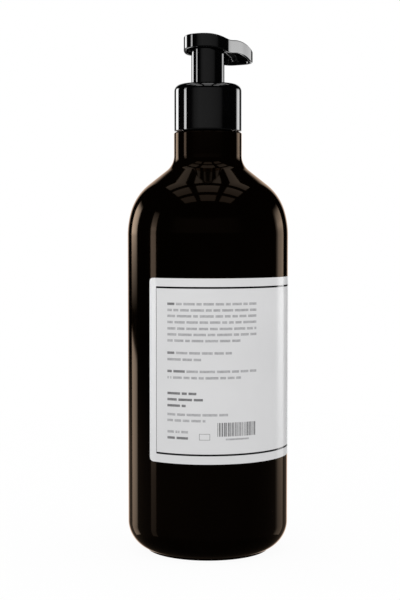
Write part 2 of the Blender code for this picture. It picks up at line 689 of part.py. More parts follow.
def make_actuator_head(parent):
    """Cap, beak, sleeve, socket and nozzle tube, moulded in one piece and open underneath."""
    full = BEAK_LENGTH
    plan = flat_curve("actuator_head", head_outline(0.0), full)
    head = curve_to_mesh("actuator_head", plan, look=BLACK_LOOK)
    hang(head, HEAD_TOP, parent)
    section = side_prism("head_side", 0.0, None)
    hollow_plan = flat_curve("head_hollow", head_outline(HEAD_WALL), full)
    hollow = curve_to_mesh("head_hollow", hollow_plan)
    hollow_side = side_prism("head_hollow_side", HEAD_PLATE, -full)
    below_skin = side_prism("head_below_skin", HEAD_PLATE / 2, SLEEVE_BOTTOM - HEAD_TOP - full)
    boolean(hollow, hollow_side, "INTERSECT")
    sleeve_bottom = SLEEVE_BOTTOM - HEAD_TOP
    sleeve_bore = SLEEVE_RADIUS - SLEEVE_WALL
    sleeve = tube("head_sleeve", SLEEVE_RADIUS, sleeve_bore, sleeve_bottom, 0.0, NECK_FACETS)
    socket = rod("head_socket", SOCKET_RADIUS, SOCKET_BOTTOM - HEAD_TOP, 0.0, PUMP_FACETS)
    nozzle_curve = wire_curve("head_nozzle", nozzle_route(0.0), NOZZLE_RADIUS, 4)
    nozzle = curve_to_mesh("head_nozzle", nozzle_curve)
    boolean(sleeve, socket, "UNION")
    boolean(sleeve, nozzle, "UNION")
    boolean(sleeve, below_skin, "INTERSECT")
    bore_top = NOZZLE_BORE - NOZZLE_DROP
    bore_bottom = SOCKET_BOTTOM - HEAD_TOP - full
    socket_bore = rod("head_socket_bore", SOCKET_BORE, bore_bottom, bore_top, SMALL_FACETS)
    route = nozzle_route(NOZZLE_RADIUS)
    channel_curve = wire_curve("head_channel", route, NOZZLE_BORE, 3)
    channel = curve_to_mesh("head_channel", channel_curve)
    for cutter in (section, hollow, hollow_side, below_skin, sleeve, socket, nozzle, socket_bore, channel):
        cutter.parent = head
    boolean(head, section, "INTERSECT")
    boolean(head, hollow, "DIFFERENCE")
    boolean(head, sleeve, "UNION")
    boolean(head, socket_bore, "DIFFERENCE")
    boolean(head, channel, "DIFFERENCE")
    return head


def main():
    make_bottle()
    make_label()
    pump = carrier("pump_carrier", FLANGE_BOTTOM)
    make_gasket(pump)
    make_pump_housing(pump)
    make_chaplet(pump)
    make_ball_stop(pump)
    make_spring(pump)
    make_dip_tube(pump)
    closure = carrier("closure_carrier", NECK_TOP, pump)
    make_collar_cover(closure)
    make_screw_closure(closure)
    make_valve_ball(carrier("ball_carrier", VALVE_LEVEL, pump))
    press = carrier("press_carrier", PISTON_BOTTOM, pump)
    make_piston_seal(press)
    turning = carrier("head_carrier", SLEEVE_BOTTOM, press)
    make_stem(turning)
    make_actuator_head(turning)


main()
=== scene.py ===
import random
from math import acos, cos, pi, radians, sin, sqrt, tan

import bmesh
import bpy
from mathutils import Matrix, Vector


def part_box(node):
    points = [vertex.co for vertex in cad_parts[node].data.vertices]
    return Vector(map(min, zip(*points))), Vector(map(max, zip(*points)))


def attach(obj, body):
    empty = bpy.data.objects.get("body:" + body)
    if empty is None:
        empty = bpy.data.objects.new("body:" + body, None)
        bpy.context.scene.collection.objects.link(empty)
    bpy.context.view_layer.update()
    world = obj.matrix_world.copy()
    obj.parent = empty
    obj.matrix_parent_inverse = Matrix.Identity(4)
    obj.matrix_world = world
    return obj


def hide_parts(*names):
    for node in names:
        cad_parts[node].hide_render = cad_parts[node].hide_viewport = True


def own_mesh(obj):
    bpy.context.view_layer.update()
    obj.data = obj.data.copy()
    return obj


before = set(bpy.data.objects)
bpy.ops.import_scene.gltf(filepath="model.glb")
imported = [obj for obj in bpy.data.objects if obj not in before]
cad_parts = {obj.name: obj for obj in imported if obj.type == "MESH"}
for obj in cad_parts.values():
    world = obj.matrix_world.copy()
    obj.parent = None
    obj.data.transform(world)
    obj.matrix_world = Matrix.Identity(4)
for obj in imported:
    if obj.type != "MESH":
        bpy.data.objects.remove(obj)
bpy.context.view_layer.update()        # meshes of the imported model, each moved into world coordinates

scene = bpy.context.scene
print("frame loaded")


# small tools that every piece uses

filleting = {
    "mostOfSide": 0.48,  # an arc takes no more than this share of the side it runs into
    "longSide": 0.003,  # a longer side gets a point beside each arc, which keeps its shading level
    "besideArc": 0.015,  # how far from the arc, as a share of the side
}
threadFlank = [(0.75, 0.6), (1.0, 0.3)]  # shares of a thread's height and half width, from root to crest
sharpEdge = radians(40)
onAxis = 1e-7  # a radius below this is the axis itself


def circle(steps):
    return [(cos(2 * pi * i / steps), sin(2 * pi * i / steps)) for i in range(steps)]


def filleted(corners, closed=True, arcSteps=5):
    # corners are (r, z, rounding): each corner with a rounding becomes a short arc
    points = []
    count = len(corners)
    most, longSide, beside = filleting["mostOfSide"], filleting["longSide"], filleting["besideArc"]
    for i, (r, z, rounding) in enumerate(corners):
        atEnd = not closed and i in (0, count - 1)
        if rounding <= 0.0 or atEnd:
            points.append((r, z))
            continue
        here = Vector((r, z))
        before = Vector(corners[i - 1][:2]) - here
        after = Vector(corners[(i + 1) % count][:2]) - here
        half = before.angle(after) / 2
        run = min(rounding / tan(half), most * before.length, most * after.length)
        radius = run * tan(half)
        centre = here + (before.normalized() + after.normalized()).normalized() * (radius / sin(half))
        start = here + before.normalized() * run - centre
        end = here + after.normalized() * run - centre
        swing = start.angle(end)
        if before.length > longSide:
            points.append(tuple(here + before.normalized() * (run + beside * before.length)))
        for k in range(arcSteps + 1):
            share = k / arcSteps
            spoke = (start * sin(swing * (1 - share)) + end * sin(swing * share)) / sin(swing)
            points.append(tuple(centre + spoke))
        if after.length > longSide:
            points.append(tuple(here + after.normalized() * (run + beside * after.length)))
    return points


def arcPoints(centreR, centreZ, radius, start, end, steps):
    angles = [start + (end - start) * i / steps for i in range(steps + 1)]
    return [(centreR + radius * cos(a), centreZ + radius * sin(a)) for a in angles]


def bridge(bm, first, second):
    # faces between two rings of vertices, either of which may be a single point on the axis
    count = max(len(first), len(second))
    for i in range(count):
        j = (i + 1) % count
        face = []
        for ring, k in ((first, i), (first, j), (second, j), (second, i)):
            vert = ring[k % len(ring)]
            if vert not in face:
                face.append(vert)
        bm.faces.new(face)


def bridgeAll(bm, rings):
    for first, second in zip(rings, rings[1:]):
        bridge(bm, first, second)


def addTurned(bm, points, steps, closed=True):
    rings = []
    for r, z in points:
        if r < onAxis:
            rings.append([bm.verts.new((0.0, 0.0, z))])
        else:
            rings.append([bm.verts.new((r * c, r * s, z)) for c, s in circle(steps)])
    bridgeAll(bm, rings)
    if closed:
        bridge(bm, rings[-1], rings[0])
    return [vert for ring in rings for vert in ring]


def addSweep(bm, stations, section):
    # stations are (origin, sideways, upwards, scale); the section is a closed loop of (sideways, upwards)
    rings = []
    for origin, sideways, upwards, scale in stations:
        rings.append([bm.verts.new(origin + sideways * a * scale + upwards * b * scale) for a, b in section])
    bridgeAll(bm, rings)
    bm.faces.new(rings[0])
    bm.faces.new(rings[-1])


def addThread(bm, thread, top, inward=False):
    # a raised helix that runs out into the wall at both ends
    steps = int(thread["turns"] * thread["stepsPerTurn"])
    out = -1.0 if inward else 1.0
    stations = []
    for i in range(steps + 1):
        share = i / steps
        angle = 2 * pi * thread["turns"] * share
        radial = Vector((cos(angle), sin(angle), 0.0))
        root = radial * thread["rootRadius"] + Vector((0, 0, top - thread["pitch"] * thread["turns"] * share))
        fade = min(1.0, min(share, 1.0 - share) / thread["runOut"])
        stations.append((root, radial * out, Vector((0, 0, 1)), fade))
    half = thread["width"] / 2
    flank = [(-thread["sunk"], -half)] + [(thread["height"] * up, -half * side) for up, side in threadFlank]
    addSweep(bm, stations, flank + [(a, -b) for a, b in reversed(flank)])


def makePiece(name, bm, material, body, nodes=()):
    bmesh.ops.recalc_face_normals(bm, faces=bm.faces)
    mesh = bpy.data.meshes.new(name)
    bm.to_mesh(mesh)
    bm.free()
    mesh.shade_smooth()
    mesh.set_sharp_from_angle(angle=sharpEdge)
    mesh.materials.append(material)
    piece = bpy.data.objects.new(name, mesh)
    scene.collection.objects.link(piece)
    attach(piece, body)
    if nodes:
        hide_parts(*nodes)
    return piece


def turnedPiece(name, corners, material, body, nodes, steps, closed=True):
    bm = bmesh.new()
    addTurned(bm, filleted(corners, closed), steps, closed)
    makePiece(name, bm, material, body, nodes)


def levels(node):
    low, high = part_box(node)
    return low.z, high.z


def grey(level):
    return (level, level, level, 1.0)


def pick(shape, names):
    return [shape[name] for name in names.split()]


def addNode(tree, kind, values={}, feeds={}):
    # a shader node with its fixed inputs, and the outputs of others that feed it
    node = tree.nodes.new("ShaderNode" + kind)
    for socket, value in values.items():
        node.inputs[socket].default_value = value
    for socket, source in feeds.items():
        tree.links.new(source, node.inputs[socket])
    return node


def newMaterial(name):
    material = bpy.data.materials.new(name)
    material.use_nodes = True
    return material, material.node_tree


def ranged(tree, source, fromRange, toRange=(0.0, 1.0)):
    values = dict(zip(("From Min", "From Max", "To Min", "To Max"), (*fromRange, *toRange)))
    return addNode(tree, "MapRange", values, {"Value": source}).outputs["Result"]


def combined(tree, operation, first, second):
    node = addNode(tree, "Math", {}, {0: first, 1: second})
    node.operation = operation
    return node.outputs["Value"]


def greyRamp(tree, source, stops):
    # brightness by angle, height or place, from pairs of place (0 to 1) and level
    ramp = addNode(tree, "ValToRGB", {}, {"Fac": source})
    elements = ramp.color_ramp.elements
    while len(elements) > 1:
        elements.remove(elements[-1])
    elements[0].position = stops[0][0]
    elements[0].color = grey(stops[0][1])
    for place, level in stops[1:]:
        elements.new(place).color = grey(level)
    return ramp.outputs["Color"]


# materials

finish = {
    "cloudDetail": 3.0,
    "cloudSpan": (0.35, 0.65),  # the noise levels where the darker colour ends and the lighter one starts
    "polishDetail": 4.0,
    "polishSpan": (0.3, 0.7),
    "rippleDetail": 2.0,
}


def noise(tree, scale, detail, stretch=(1.0, 1.0, 1.0)):
    # noise in the object's own metres, so it moves with the piece
    where = addNode(tree, "TexCoord").outputs["Object"]
    place = addNode(tree, "Mapping", {"Scale": stretch}, {"Vector": where}).outputs["Vector"]
    return addNode(tree, "TexNoise", {"Scale": scale, "Detail": detail}, {"Vector": place}).outputs["Fac"]


def mouldedMaterial(look):
    # moulded or printed surface: two close colours, uneven polish and a faint ripple
    material, tree = newMaterial(look["name"])
    cloud = noise(tree, look["cloudScale"], finish["cloudDetail"], look.get("stretch", (1.0, 1.0, 1.0)))
    ramp = addNode(tree, "ValToRGB", {}, {"Fac": cloud})
    for element, place, colour in zip(ramp.color_ramp.elements, finish["cloudSpan"], ("darker", "lighter")):
        element.position = place
        element.color = (*look[colour], 1.0)
    polish = noise(tree, look["polishScale"], finish["polishDetail"])
    scale, strength, depth = look["ripple"]
    ripple = noise(tree, scale, finish["rippleDetail"])
    bump = addNode(tree, "Bump", {"Strength": strength, "Distance": depth}, {"Height": ripple})
    shader = tree.nodes["Principled BSDF"]
    tree.links.new(ramp.outputs["Color"], shader.inputs["Base Color"])
    tree.links.new(ranged(tree, polish, finish["polishSpan"], look["roughness"]), shader.inputs["Roughness"])
    tree.links.new(bump.outputs["Normal"], shader.inputs["Normal"])
    for socket, value in look.get("sockets", {}).items():
        shader.inputs[socket].default_value = value
    return material


# each ripple is its scale, its strength and its depth
bottleMaterial = mouldedMaterial({
    "name": "bottle_brown_pet",
    "darker": (0.0006, 0.0004, 0.0002),
    "lighter": (0.0012, 0.0008, 0.0005),
    "cloudScale": 14.0,
    "roughness": (0.05, 0.08),
    "polishScale": 30.0,
    "ripple": (45.0, 0.25, 0.00004),
    # a thin brown skin over the gloss tints what the bottle mirrors
    "sockets": {
        "Specular IOR Level": 0.046,
        "Specular Tint": (1.0, 0.77, 0.61, 1.0),
        "Coat Weight": 1.0,
        "Coat IOR": 1.04,
        "Coat Roughness": 0.05,
        "Coat Tint": (1.0, 0.85, 0.70, 1.0),
    },
})
glossMaterial = mouldedMaterial({
    "name": "gloss_black_moulding",
    "darker": (0.0008, 0.0008, 0.0009),
    "lighter": (0.0016, 0.0016, 0.0017),
    "cloudScale": 40.0,
    "roughness": (0.02, 0.035),
    "polishScale": 120.0,
    "ripple": (90.0, 0.2, 0.00002),
    "sockets": {"Specular IOR Level": 0.5},
})
closureMaterial = mouldedMaterial({
    "name": "satin_black_moulding",
    "darker": (0.012, 0.012, 0.012),
    "lighter": (0.020, 0.020, 0.020),
    "cloudScale": 200.0,
    "roughness": (0.32, 0.42),
    "polishScale": 400.0,
    "ripple": (900.0, 0.3, 0.00003),
})
labelMaterial = mouldedMaterial({
    "name": "label_white_film",
    "darker": (0.665, 0.665, 0.672),
    "lighter": (0.695, 0.695, 0.70),
    "cloudScale": 25.0,
    "roughness": (0.12, 0.17),
    "polishScale": 300.0,
    "ripple": (500.0, 0.1, 0.00001),
    "sockets": {"Specular IOR Level": 0.12},
})
inkSurface = {"polishScale": 500.0, "ripple": (600.0, 0.1, 0.00001)}
frameInk = mouldedMaterial({
    "name": "frame_black_ink",
    "darker": (0.004, 0.004, 0.005),
    "lighter": (0.010, 0.010, 0.012),
    "cloudScale": 300.0,
    "roughness": (0.04, 0.06),
    **inkSurface,
})
textInk = mouldedMaterial({
    "name": "text_grey_ink",
    "darker": (0.36, 0.36, 0.37),
    "lighter": (0.46, 0.46, 0.47),
    "cloudScale": 900.0,
    "roughness": (0.35, 0.45),
    **inkSurface,
})
boldInk = mouldedMaterial({
    "name": "bold_grey_ink",
    "darker": (0.16, 0.16, 0.165),
    "lighter": (0.24, 0.24, 0.245),
    "cloudScale": 900.0,
    "roughness": (0.30, 0.40),
    **inkSurface,
})
naturalMaterial = mouldedMaterial({
    "name": "natural_polypropylene",
    "darker": (0.80, 0.81, 0.81),
    "lighter": (0.90, 0.91, 0.91),
    "cloudScale": 90.0,
    "roughness": (0.28, 0.40),
    "polishScale": 300.0,
    "ripple": (400.0, 0.2, 0.00003),
    "sockets": {"Transmission Weight": 0.55, "IOR": 1.49},
})
tubeMaterial = mouldedMaterial({
    "name": "natural_polyethylene_tube",
    "darker": (0.84, 0.85, 0.85),
    "lighter": (0.92, 0.93, 0.93),
    "cloudScale": 60.0,
    "stretch": (1.0, 1.0, 0.15),
    "roughness": (0.30, 0.45),
    "polishScale": 250.0,
    "ripple": (300.0, 0.25, 0.00003),
    "sockets": {"Transmission Weight": 0.45, "IOR": 1.51},
})
sealMaterial = mouldedMaterial({
    "name": "soft_white_seal",
    "darker": (0.70, 0.69, 0.66),
    "lighter": (0.80, 0.79, 0.76),
    "cloudScale": 300.0,
    "roughness": (0.45, 0.60),
    "polishScale": 500.0,
    "ripple": (800.0, 0.3, 0.00004),
})
steelMaterial = mouldedMaterial({
    "name": "bright_steel_wire",
    "darker": (0.52, 0.52, 0.50),
    "lighter": (0.66, 0.66, 0.64),
    "cloudScale": 700.0,
    "roughness": (0.16, 0.30),
    "polishScale": 900.0,
    "ripple": (2500.0, 0.2, 0.00002),
    "sockets": {"Metallic": 1.0},
})
print("materials ready")


cameraSetup = {
    "azimuth": radians(210.0),  # where the camera stands, seen from the bottle
    "distance": 0.71807,  # level distance from the bottle's axis
    "height": 0.1696,
    "pitch": radians(2.965),  # looking down
    "aimLeft": radians(0.3325),  # the axis lies a little right of the middle
    "lens": 81.07,
    "sensor": 36.0,
    "clipStart": 0.01,
}


def makeCamera(setup):
    camera = bpy.data.cameras.new("photo_camera")
    camera.lens = setup["lens"]
    camera.sensor_width = setup["sensor"]
    camera.clip_start = setup["clipStart"]
    viewer = bpy.data.objects.new("photo_camera", camera)
    turn = setup["azimuth"]
    viewer.location = (setup["distance"] * sin(turn), -setup["distance"] * cos(turn), setup["height"])
    viewer.rotation_euler = (pi / 2 - setup["pitch"], 0.0, turn + setup["aimLeft"])
    scene.collection.objects.link(viewer)
    scene.camera = viewer


makeCamera(cameraSetup)
print("camera placed")


bottleShape = {
    "steps": 192,
    "straightTop": 0.1667,
    "upperArc": (0.0454, radians(16.6)),  # radius and how far it turns
    "shoulderArc": (0.0279, radians(51.8)),
    "arcSteps": (20, 18, 12, 24),  # neck fillet, shoulder, upper arc and heel
    "wallSteps": 8,
    "besideFillets": (0.0005, 0.0008),  # a ring just above the neck fillet and above the heel
    "neckFillet": 0.0099,
    "neckRadius": 0.0179,
    "neckLength": 0.0121,
    "neckEdge": 0.0007,
    "heelRadius": 0.015,
    "footOuter": 0.0325,
    "footWidth": 0.003,
    "footEdge": 0.0008,
    "domeHeight": 0.005,
    "domeFoot": (0.93, 0.135),  # where the dome starts: shares of its radius and height
    "domeSteps": (15, 10),  # outside and inside
    "wall": 0.0008,
    "baseWall": 0.0012,
    "neckWall": 0.0012,
    "finishRadius": 0.01275,
    "finishBore": 0.0109,
    "finishEdge": 0.0004,
    "boreEdge": 0.0003,
    "gatePip": 0.0016,  # the moulding mark under the base
    "gateEdge": 0.8,
    "gateDepth": (0.0004, 0.0005),  # at its edge and in its middle
}
bottleThread = {
    "rootRadius": 0.01275,
    "height": 0.00095,
    "width": 0.0019,
    "sunk": 0.0003,
    "pitch": 0.0042,
    "turns": 2.1,
    "stepsPerTurn": 96,
    "runOut": 0.06,
    "drop": 0.0028,  # from the mouth down to the thread's start
}


def bottleSide(shape, radius, inset):
    # the wall from the neck fillet down to the foot, and the level of the neck's top
    upperRadius, upperAngle = shape["upperArc"]
    shoulderRadius, shoulderAngle = shape["shoulderArc"]
    filletSteps, shoulderSteps, upperSteps, heelSteps = shape["arcSteps"]
    fillet, heel, straightTop = shape["neckFillet"], shape["heelRadius"], shape["straightTop"]
    upperCentre = radius - upperRadius
    shoulderR = upperCentre + (upperRadius - shoulderRadius) * cos(upperAngle)
    shoulderZ = straightTop + (upperRadius - shoulderRadius) * sin(upperAngle)
    slopeR = shoulderR + shoulderRadius * cos(shoulderAngle)
    slopeZ = shoulderZ + shoulderRadius * sin(shoulderAngle)
    filletR = shape["neckRadius"] + fillet
    slopeEndR = filletR - fillet * cos(shoulderAngle)
    slopeEndZ = slopeZ + (slopeR - slopeEndR) / tan(shoulderAngle)
    filletZ = slopeEndZ + fillet * sin(shoulderAngle)
    heelR = radius - heel
    footAngle = acos((shape["footOuter"] - heelR) / heel)
    side = arcPoints(filletR, filletZ, fillet + inset, pi, pi + shoulderAngle, filletSteps)
    side += arcPoints(shoulderR, shoulderZ, shoulderRadius - inset, shoulderAngle, upperAngle, shoulderSteps)
    side += arcPoints(upperCentre, straightTop, upperRadius - inset, upperAngle, 0.0, upperSteps)[1:]
    for i in range(1, shape["wallSteps"]):
        side.append((radius - inset, straightTop + (heel - straightTop) * i / shape["wallSteps"]))
    side.append((radius - inset, heel + shape["besideFillets"][1]))
    side += arcPoints(heelR, heel, heel - inset, 0.0, -footAngle, heelSteps)
    return side, filletZ + shape["neckLength"]


def domePoints(radius, height, base, first, steps):
    # the pushed up base, from beside its rim towards the axis
    reaches = [radius * (1.0 - i / steps) for i in range(first, steps)]
    return [(r, base + height * (1.0 - (r / radius) ** 2)) for r in reaches]


def makeBottle(shape, thread):
    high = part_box("bottle")[1]
    radius, mouth = high.x, high.z
    outerSide, neckTop = bottleSide(shape, radius, 0.0)
    innerSide = bottleSide(shape, radius, shape["wall"])[0]
    ledge = neckTop - shape["neckWall"]
    bore, lip, lipEdge = shape["finishBore"], shape["finishRadius"], shape["finishEdge"]
    neck, dome, pip = shape["neckRadius"], shape["domeHeight"], shape["gatePip"]
    rim = [(bore, ledge, 0.0), (bore, mouth, shape["boreEdge"]), (lip, mouth, lipEdge)]
    rim += [(lip, neckTop, lipEdge), (neck, neckTop, shape["neckEdge"])]
    rim += [(neck, outerSide[0][1] + shape["besideFillets"][0], 0.0), (*outerSide[0], 0.0)]
    outside = filleted(rim, closed=False) + outerSide[1:]
    inner = shape["footOuter"] - shape["footWidth"]
    foot = [(*outerSide[-1], 0.0), (shape["footOuter"], 0.0, shape["footEdge"])]
    foot += [(inner, 0.0, shape["footEdge"]), (inner * shape["domeFoot"][0], dome * shape["domeFoot"][1], 0.0)]
    outside += filleted(foot, closed=False)[1:]
    outside += [point for point in domePoints(inner, dome, 0.0, 2, shape["domeSteps"][0]) if point[0] > pip]
    outside += [(pip, dome), (pip * shape["gateEdge"], dome - shape["gateDepth"][0])]
    outside.append((0.0, dome - shape["gateDepth"][1]))
    inside = [(bore, ledge), (neck - shape["neckWall"], ledge)] + innerSide
    inside += domePoints(radius - shape["heelRadius"], dome, shape["baseWall"], 1, shape["domeSteps"][1])
    inside.append((0.0, shape["baseWall"] + dome))
    bm = bmesh.new()
    addTurned(bm, list(reversed(inside)) + outside[1:], shape["steps"], closed=False)
    addThread(bm, thread, mouth - thread["drop"])
    makePiece("bottle_skin", bm, bottleMaterial, "bottle", ["bottle"])


makeBottle(bottleShape, bottleThread)
print("bottle turned")


labelShape = {
    "wallRadius": 0.04256,  # just outside the bottle's wall
    "thickness": 0.00012,
    "start": radians(75.9),  # the left edge, seen in the photograph
    "topTrim": 0.00024,  # the film ends a little below the node's top
    "length": 0.2,
    "corner": 0.0022,
    "columns": 200,
    "cornerColumns": 10,
    "rows": 12,
}
printLayout = {
    "lift": 0.000012,  # ink above the film
    "patchStep": 0.0012,  # longest straight run round the wall
    "frameInset": 0.0047,
    "frameSide": 0.0046,
    "frameThick": 0.00095,
    "frameThin": 0.00024,
    "textLeft": 0.01147,
    "textHeight": 0.00125,
    "wordLength": (0.0022, 0.0078),
    "wordGap": 0.0009,
    "leastRoom": 0.0005,  # no word starts nearer than this to the right end
    "leastWord": 0.002,  # what is left over, if shorter, is added to the last word
    "seed": 7,
    # text rows: distance from the label's top edge, right end, bold words at the start
    "rows": [
        (0.0129, 0.0589, 1), (0.0160, 0.0589, 0), (0.0190, 0.0589, 0), (0.0221, 0.0589, 0),
        (0.0253, 0.0589, 0), (0.0283, 0.0589, 0), (0.0314, 0.0496, 0),
        (0.0376, 0.0450, 1), (0.0409, 0.0294, 0),
        (0.0469, 0.0589, 2), (0.0501, 0.0499, 0),
        (0.0581, 0.0270, 9), (0.0612, 0.0303, 9), (0.0643, 0.0215, 9),
        (0.0688, 0.0430, 0), (0.0718, 0.0316, 0),
        (0.0776, 0.0227, 0), (0.0807, 0.0227, 9),
    ],
    "codeBlock": (0.0376, 0.0585, 0.0727, 0.0797),  # left, right, top, bottom of the striped block
    "codeStripes": (0.0003, 0.0005, 0.0008),
    "codeGaps": (0.00025, 0.00035, 0.0005),
    "leastStripe": 0.0002,
    "codeNote": (0.0419, 0.0545, 0.0812),  # left, right and level of the line below it
    "noteHeight": 0.7,  # as a share of the text's height
    "pot": (0.0284, 0.0339, 0.0783, 0.0815),  # outline of a small pot
    "potLine": 0.00022,
}


def labelPoint(shape, along, level, lift):
    angle = shape["start"] + along / shape["wallRadius"]
    r = shape["wallRadius"] + lift
    return (r * cos(angle), r * sin(angle), level)


def makeLabel(shape):
    bottom, top = levels("label")
    top -= shape["topTrim"]
    corner, length, rows = shape["corner"], shape["length"], shape["rows"]
    stops = []
    for i in range(shape["cornerColumns"] + 1):
        stops.append(corner * (1.0 - cos(pi / 2 * i / shape["cornerColumns"])))
    middle = shape["columns"] - 2 * shape["cornerColumns"]
    for i in range(1, middle):
        stops.append(corner + (length - 2 * corner) * i / middle)
    stops += [length - s for s in reversed(stops[:shape["cornerColumns"] + 1])]
    bm = bmesh.new()
    columns = []
    for along in stops:
        shy = max(0.0, corner - min(along, length - along))
        cut = corner - sqrt(max(0.0, corner ** 2 - shy ** 2))
        heights = [bottom + cut + (top - bottom - 2 * cut) * k / rows for k in range(rows + 1)]
        columns.append([bm.verts.new(labelPoint(shape, along, level, 0.0)) for level in heights])
    for first, second in zip(columns, columns[1:]):
        for k in range(rows):
            bm.faces.new((first[k], second[k], second[k + 1], first[k + 1]))
    bmesh.ops.recalc_face_normals(bm, faces=bm.faces)
    bm.faces.ensure_lookup_table()
    middleFace = bm.faces[len(bm.faces) // 2]
    if middleFace.normal.dot(middleFace.calc_center_median()) > 0.0:
        bmesh.ops.reverse_faces(bm, faces=bm.faces)
    bmesh.ops.solidify(bm, geom=bm.faces[:], thickness=shape["thickness"])
    makePiece("label_film", bm, labelMaterial, "bottle", ["label"])


def addPatch(bm, shape, left, right, high, low):
    # one patch of ink that follows the wall; places are measured along the label and down from its top
    top = levels("label")[1] - shape["topTrim"]
    lift = shape["thickness"] + printLayout["lift"]
    count = max(1, int((right - left) / printLayout["patchStep"]))
    lower = []
    upper = []
    for i in range(count + 1):
        along = left + (right - left) * i / count
        lower.append(bm.verts.new(labelPoint(shape, along, top - low, lift)))
        upper.append(bm.verts.new(labelPoint(shape, along, top - high, lift)))
    for i in range(count):
        bm.faces.new((lower[i], lower[i + 1], upper[i + 1], upper[i]))


def addOutline(bm, shape, left, right, high, low, flat, upright):
    # a rectangle of four lines, the level ones flat thick and the others upright wide
    addPatch(bm, shape, left, right, high, high + flat)
    addPatch(bm, shape, left, right, low - flat, low)
    addPatch(bm, shape, left, left + upright, high + flat, low - flat)
    addPatch(bm, shape, right - upright, right, high + flat, low - flat)


def makePrint(shape, layout):
    chooser = random.Random(layout["seed"])
    frameBm, textBm, boldBm = bmesh.new(), bmesh.new(), bmesh.new()
    bottom, top = levels("label")
    height = top - shape["topTrim"] - bottom
    side, thick = layout["frameSide"], layout["frameThick"]
    frameTop = layout["frameInset"] - thick / 2
    right = shape["length"] - side
    addOutline(frameBm, shape, side, right, frameTop, height - frameTop, thick, layout["frameThin"])
    half = layout["textHeight"] / 2
    for drop, end, boldWords in layout["rows"]:
        along = layout["textLeft"]
        word = 0
        while along < end - layout["leastRoom"]:
            stop = min(along + chooser.uniform(*layout["wordLength"]), end)
            if end - stop < layout["leastWord"]:
                stop = end
            target = boldBm if word < boldWords else textBm
            addPatch(target, shape, along, stop, drop - half, drop + half)
            along = stop + layout["wordGap"]
            word += 1
    along, blockRight, high, low = layout["codeBlock"]
    while along < blockRight - layout["leastStripe"]:
        stop = min(along + chooser.choice(layout["codeStripes"]), blockRight)
        addPatch(boldBm, shape, along, stop, high, low)
        along = stop + chooser.choice(layout["codeGaps"])
    noteLeft, noteRight, drop = layout["codeNote"]
    half *= layout["noteHeight"]
    addPatch(textBm, shape, noteLeft, noteRight, drop - half, drop + half)
    addOutline(boldBm, shape, *layout["pot"], layout["potLine"], layout["potLine"])
    makePiece("label_frame", frameBm, frameInk, "bottle")
    makePiece("label_text", textBm, textInk, "bottle")
    makePiece("label_bold", boldBm, boldInk, "bottle")


makeLabel(labelShape)
makePrint(labelShape, printLayout)
print("label wrapped and printed")


coverShape = {
    "wall": 0.0013,
    "plate": 0.0023,
    "corner": 0.0037,
    "footEdge": 0.0005,
    "holeEdge": 0.0003,
    "plateFillet": 0.0008,
    "plateEdge": 0.0002,
    "sleeveHole": 0.00912,
    "arcSteps": 12,
    "steps": 160,
}
closureShape = {
    "bore": 0.01405,
    "plate": 0.0014,
    "edge": 0.0003,
    "steps": 128,
}
closureThread = {
    "rootRadius": 0.01405,
    "height": 0.00022,
    "width": 0.0014,
    "sunk": 0.0002,
    "pitch": 0.0042,
    "turns": 2.4,
    "stepsPerTurn": 72,
    "runOut": 0.06,
    "drop": 0.0045,
}


def makeCollar(shape):
    low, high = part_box("collar_cover")
    hole, inner, edge = shape["sleeveHole"], high.x - shape["wall"], shape["footEdge"]
    underside = high.z - shape["plate"]
    corners = [(hole, high.z, shape["holeEdge"]), (high.x, high.z, shape["corner"]), (high.x, low.z, edge)]
    corners += [(inner, low.z, edge), (inner, underside, shape["plateFillet"])]
    corners.append((hole, underside, shape["plateEdge"]))
    bm = bmesh.new()
    addTurned(bm, filleted(corners, arcSteps=shape["arcSteps"]), shape["steps"])
    makePiece("collar_shell", bm, glossMaterial, "closure", ["collar_cover"])


def makeClosure(shape, thread):
    low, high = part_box("screw_closure")
    hole, bore, underside = coverShape["sleeveHole"], shape["bore"], high.z - shape["plate"]
    places = [(hole, high.z), (high.x, high.z), (high.x, low.z), (bore, low.z)]
    places += [(bore, underside), (hole, underside)]
    bm = bmesh.new()
    addTurned(bm, filleted([(r, z, shape["edge"]) for r, z in places]), shape["steps"])
    addThread(bm, thread, high.z - thread["drop"], inward=True)
    makePiece("closure_cap", bm, closureMaterial, "closure", ["screw_closure"])


makeCollar(coverShape)
makeClosure(closureShape, closureThread)
print("collar and closure made")


headShape = {
    "radius": 0.0128,
    "wall": 0.0013,
    "plate": 0.0014,
    "skirt": 0.0069,
    "length": 0.0345,
    "halfWidth": 0.0114,
    "tipStart": 0.019,
    "tipPower": 4.0,
    "step": (0.0025, -0.0125, 0.0015),  # drop from cap to beak, and where it runs
    "rise": (0.0009, 0.013),
    "droop": (0.0150, 0.027, 0.36),  # where it starts, its radius and its last slope
    "beakSkirt": 0.0067,
    "tipSkirt": 0.0049,
    "skirtFall": 0.026,
    "topEdge": 0.00045,
    "footEdge": 0.0003,
    "innerFillet": 0.0006,
    "spine": (0.82, 0.4),  # how far the flat top's middle line reaches, ahead and behind
    "besideEdge": 0.03,
    "sideLevels": (0.05, 0.28, 0.5, 0.72, 0.95),
    "backSteps": 56,
    "sideSteps": 16,
    "tipSteps": 30,
    "flatSteps": 6,
    "topEdgeSteps": 5,
    "edgeSteps": 4,
}
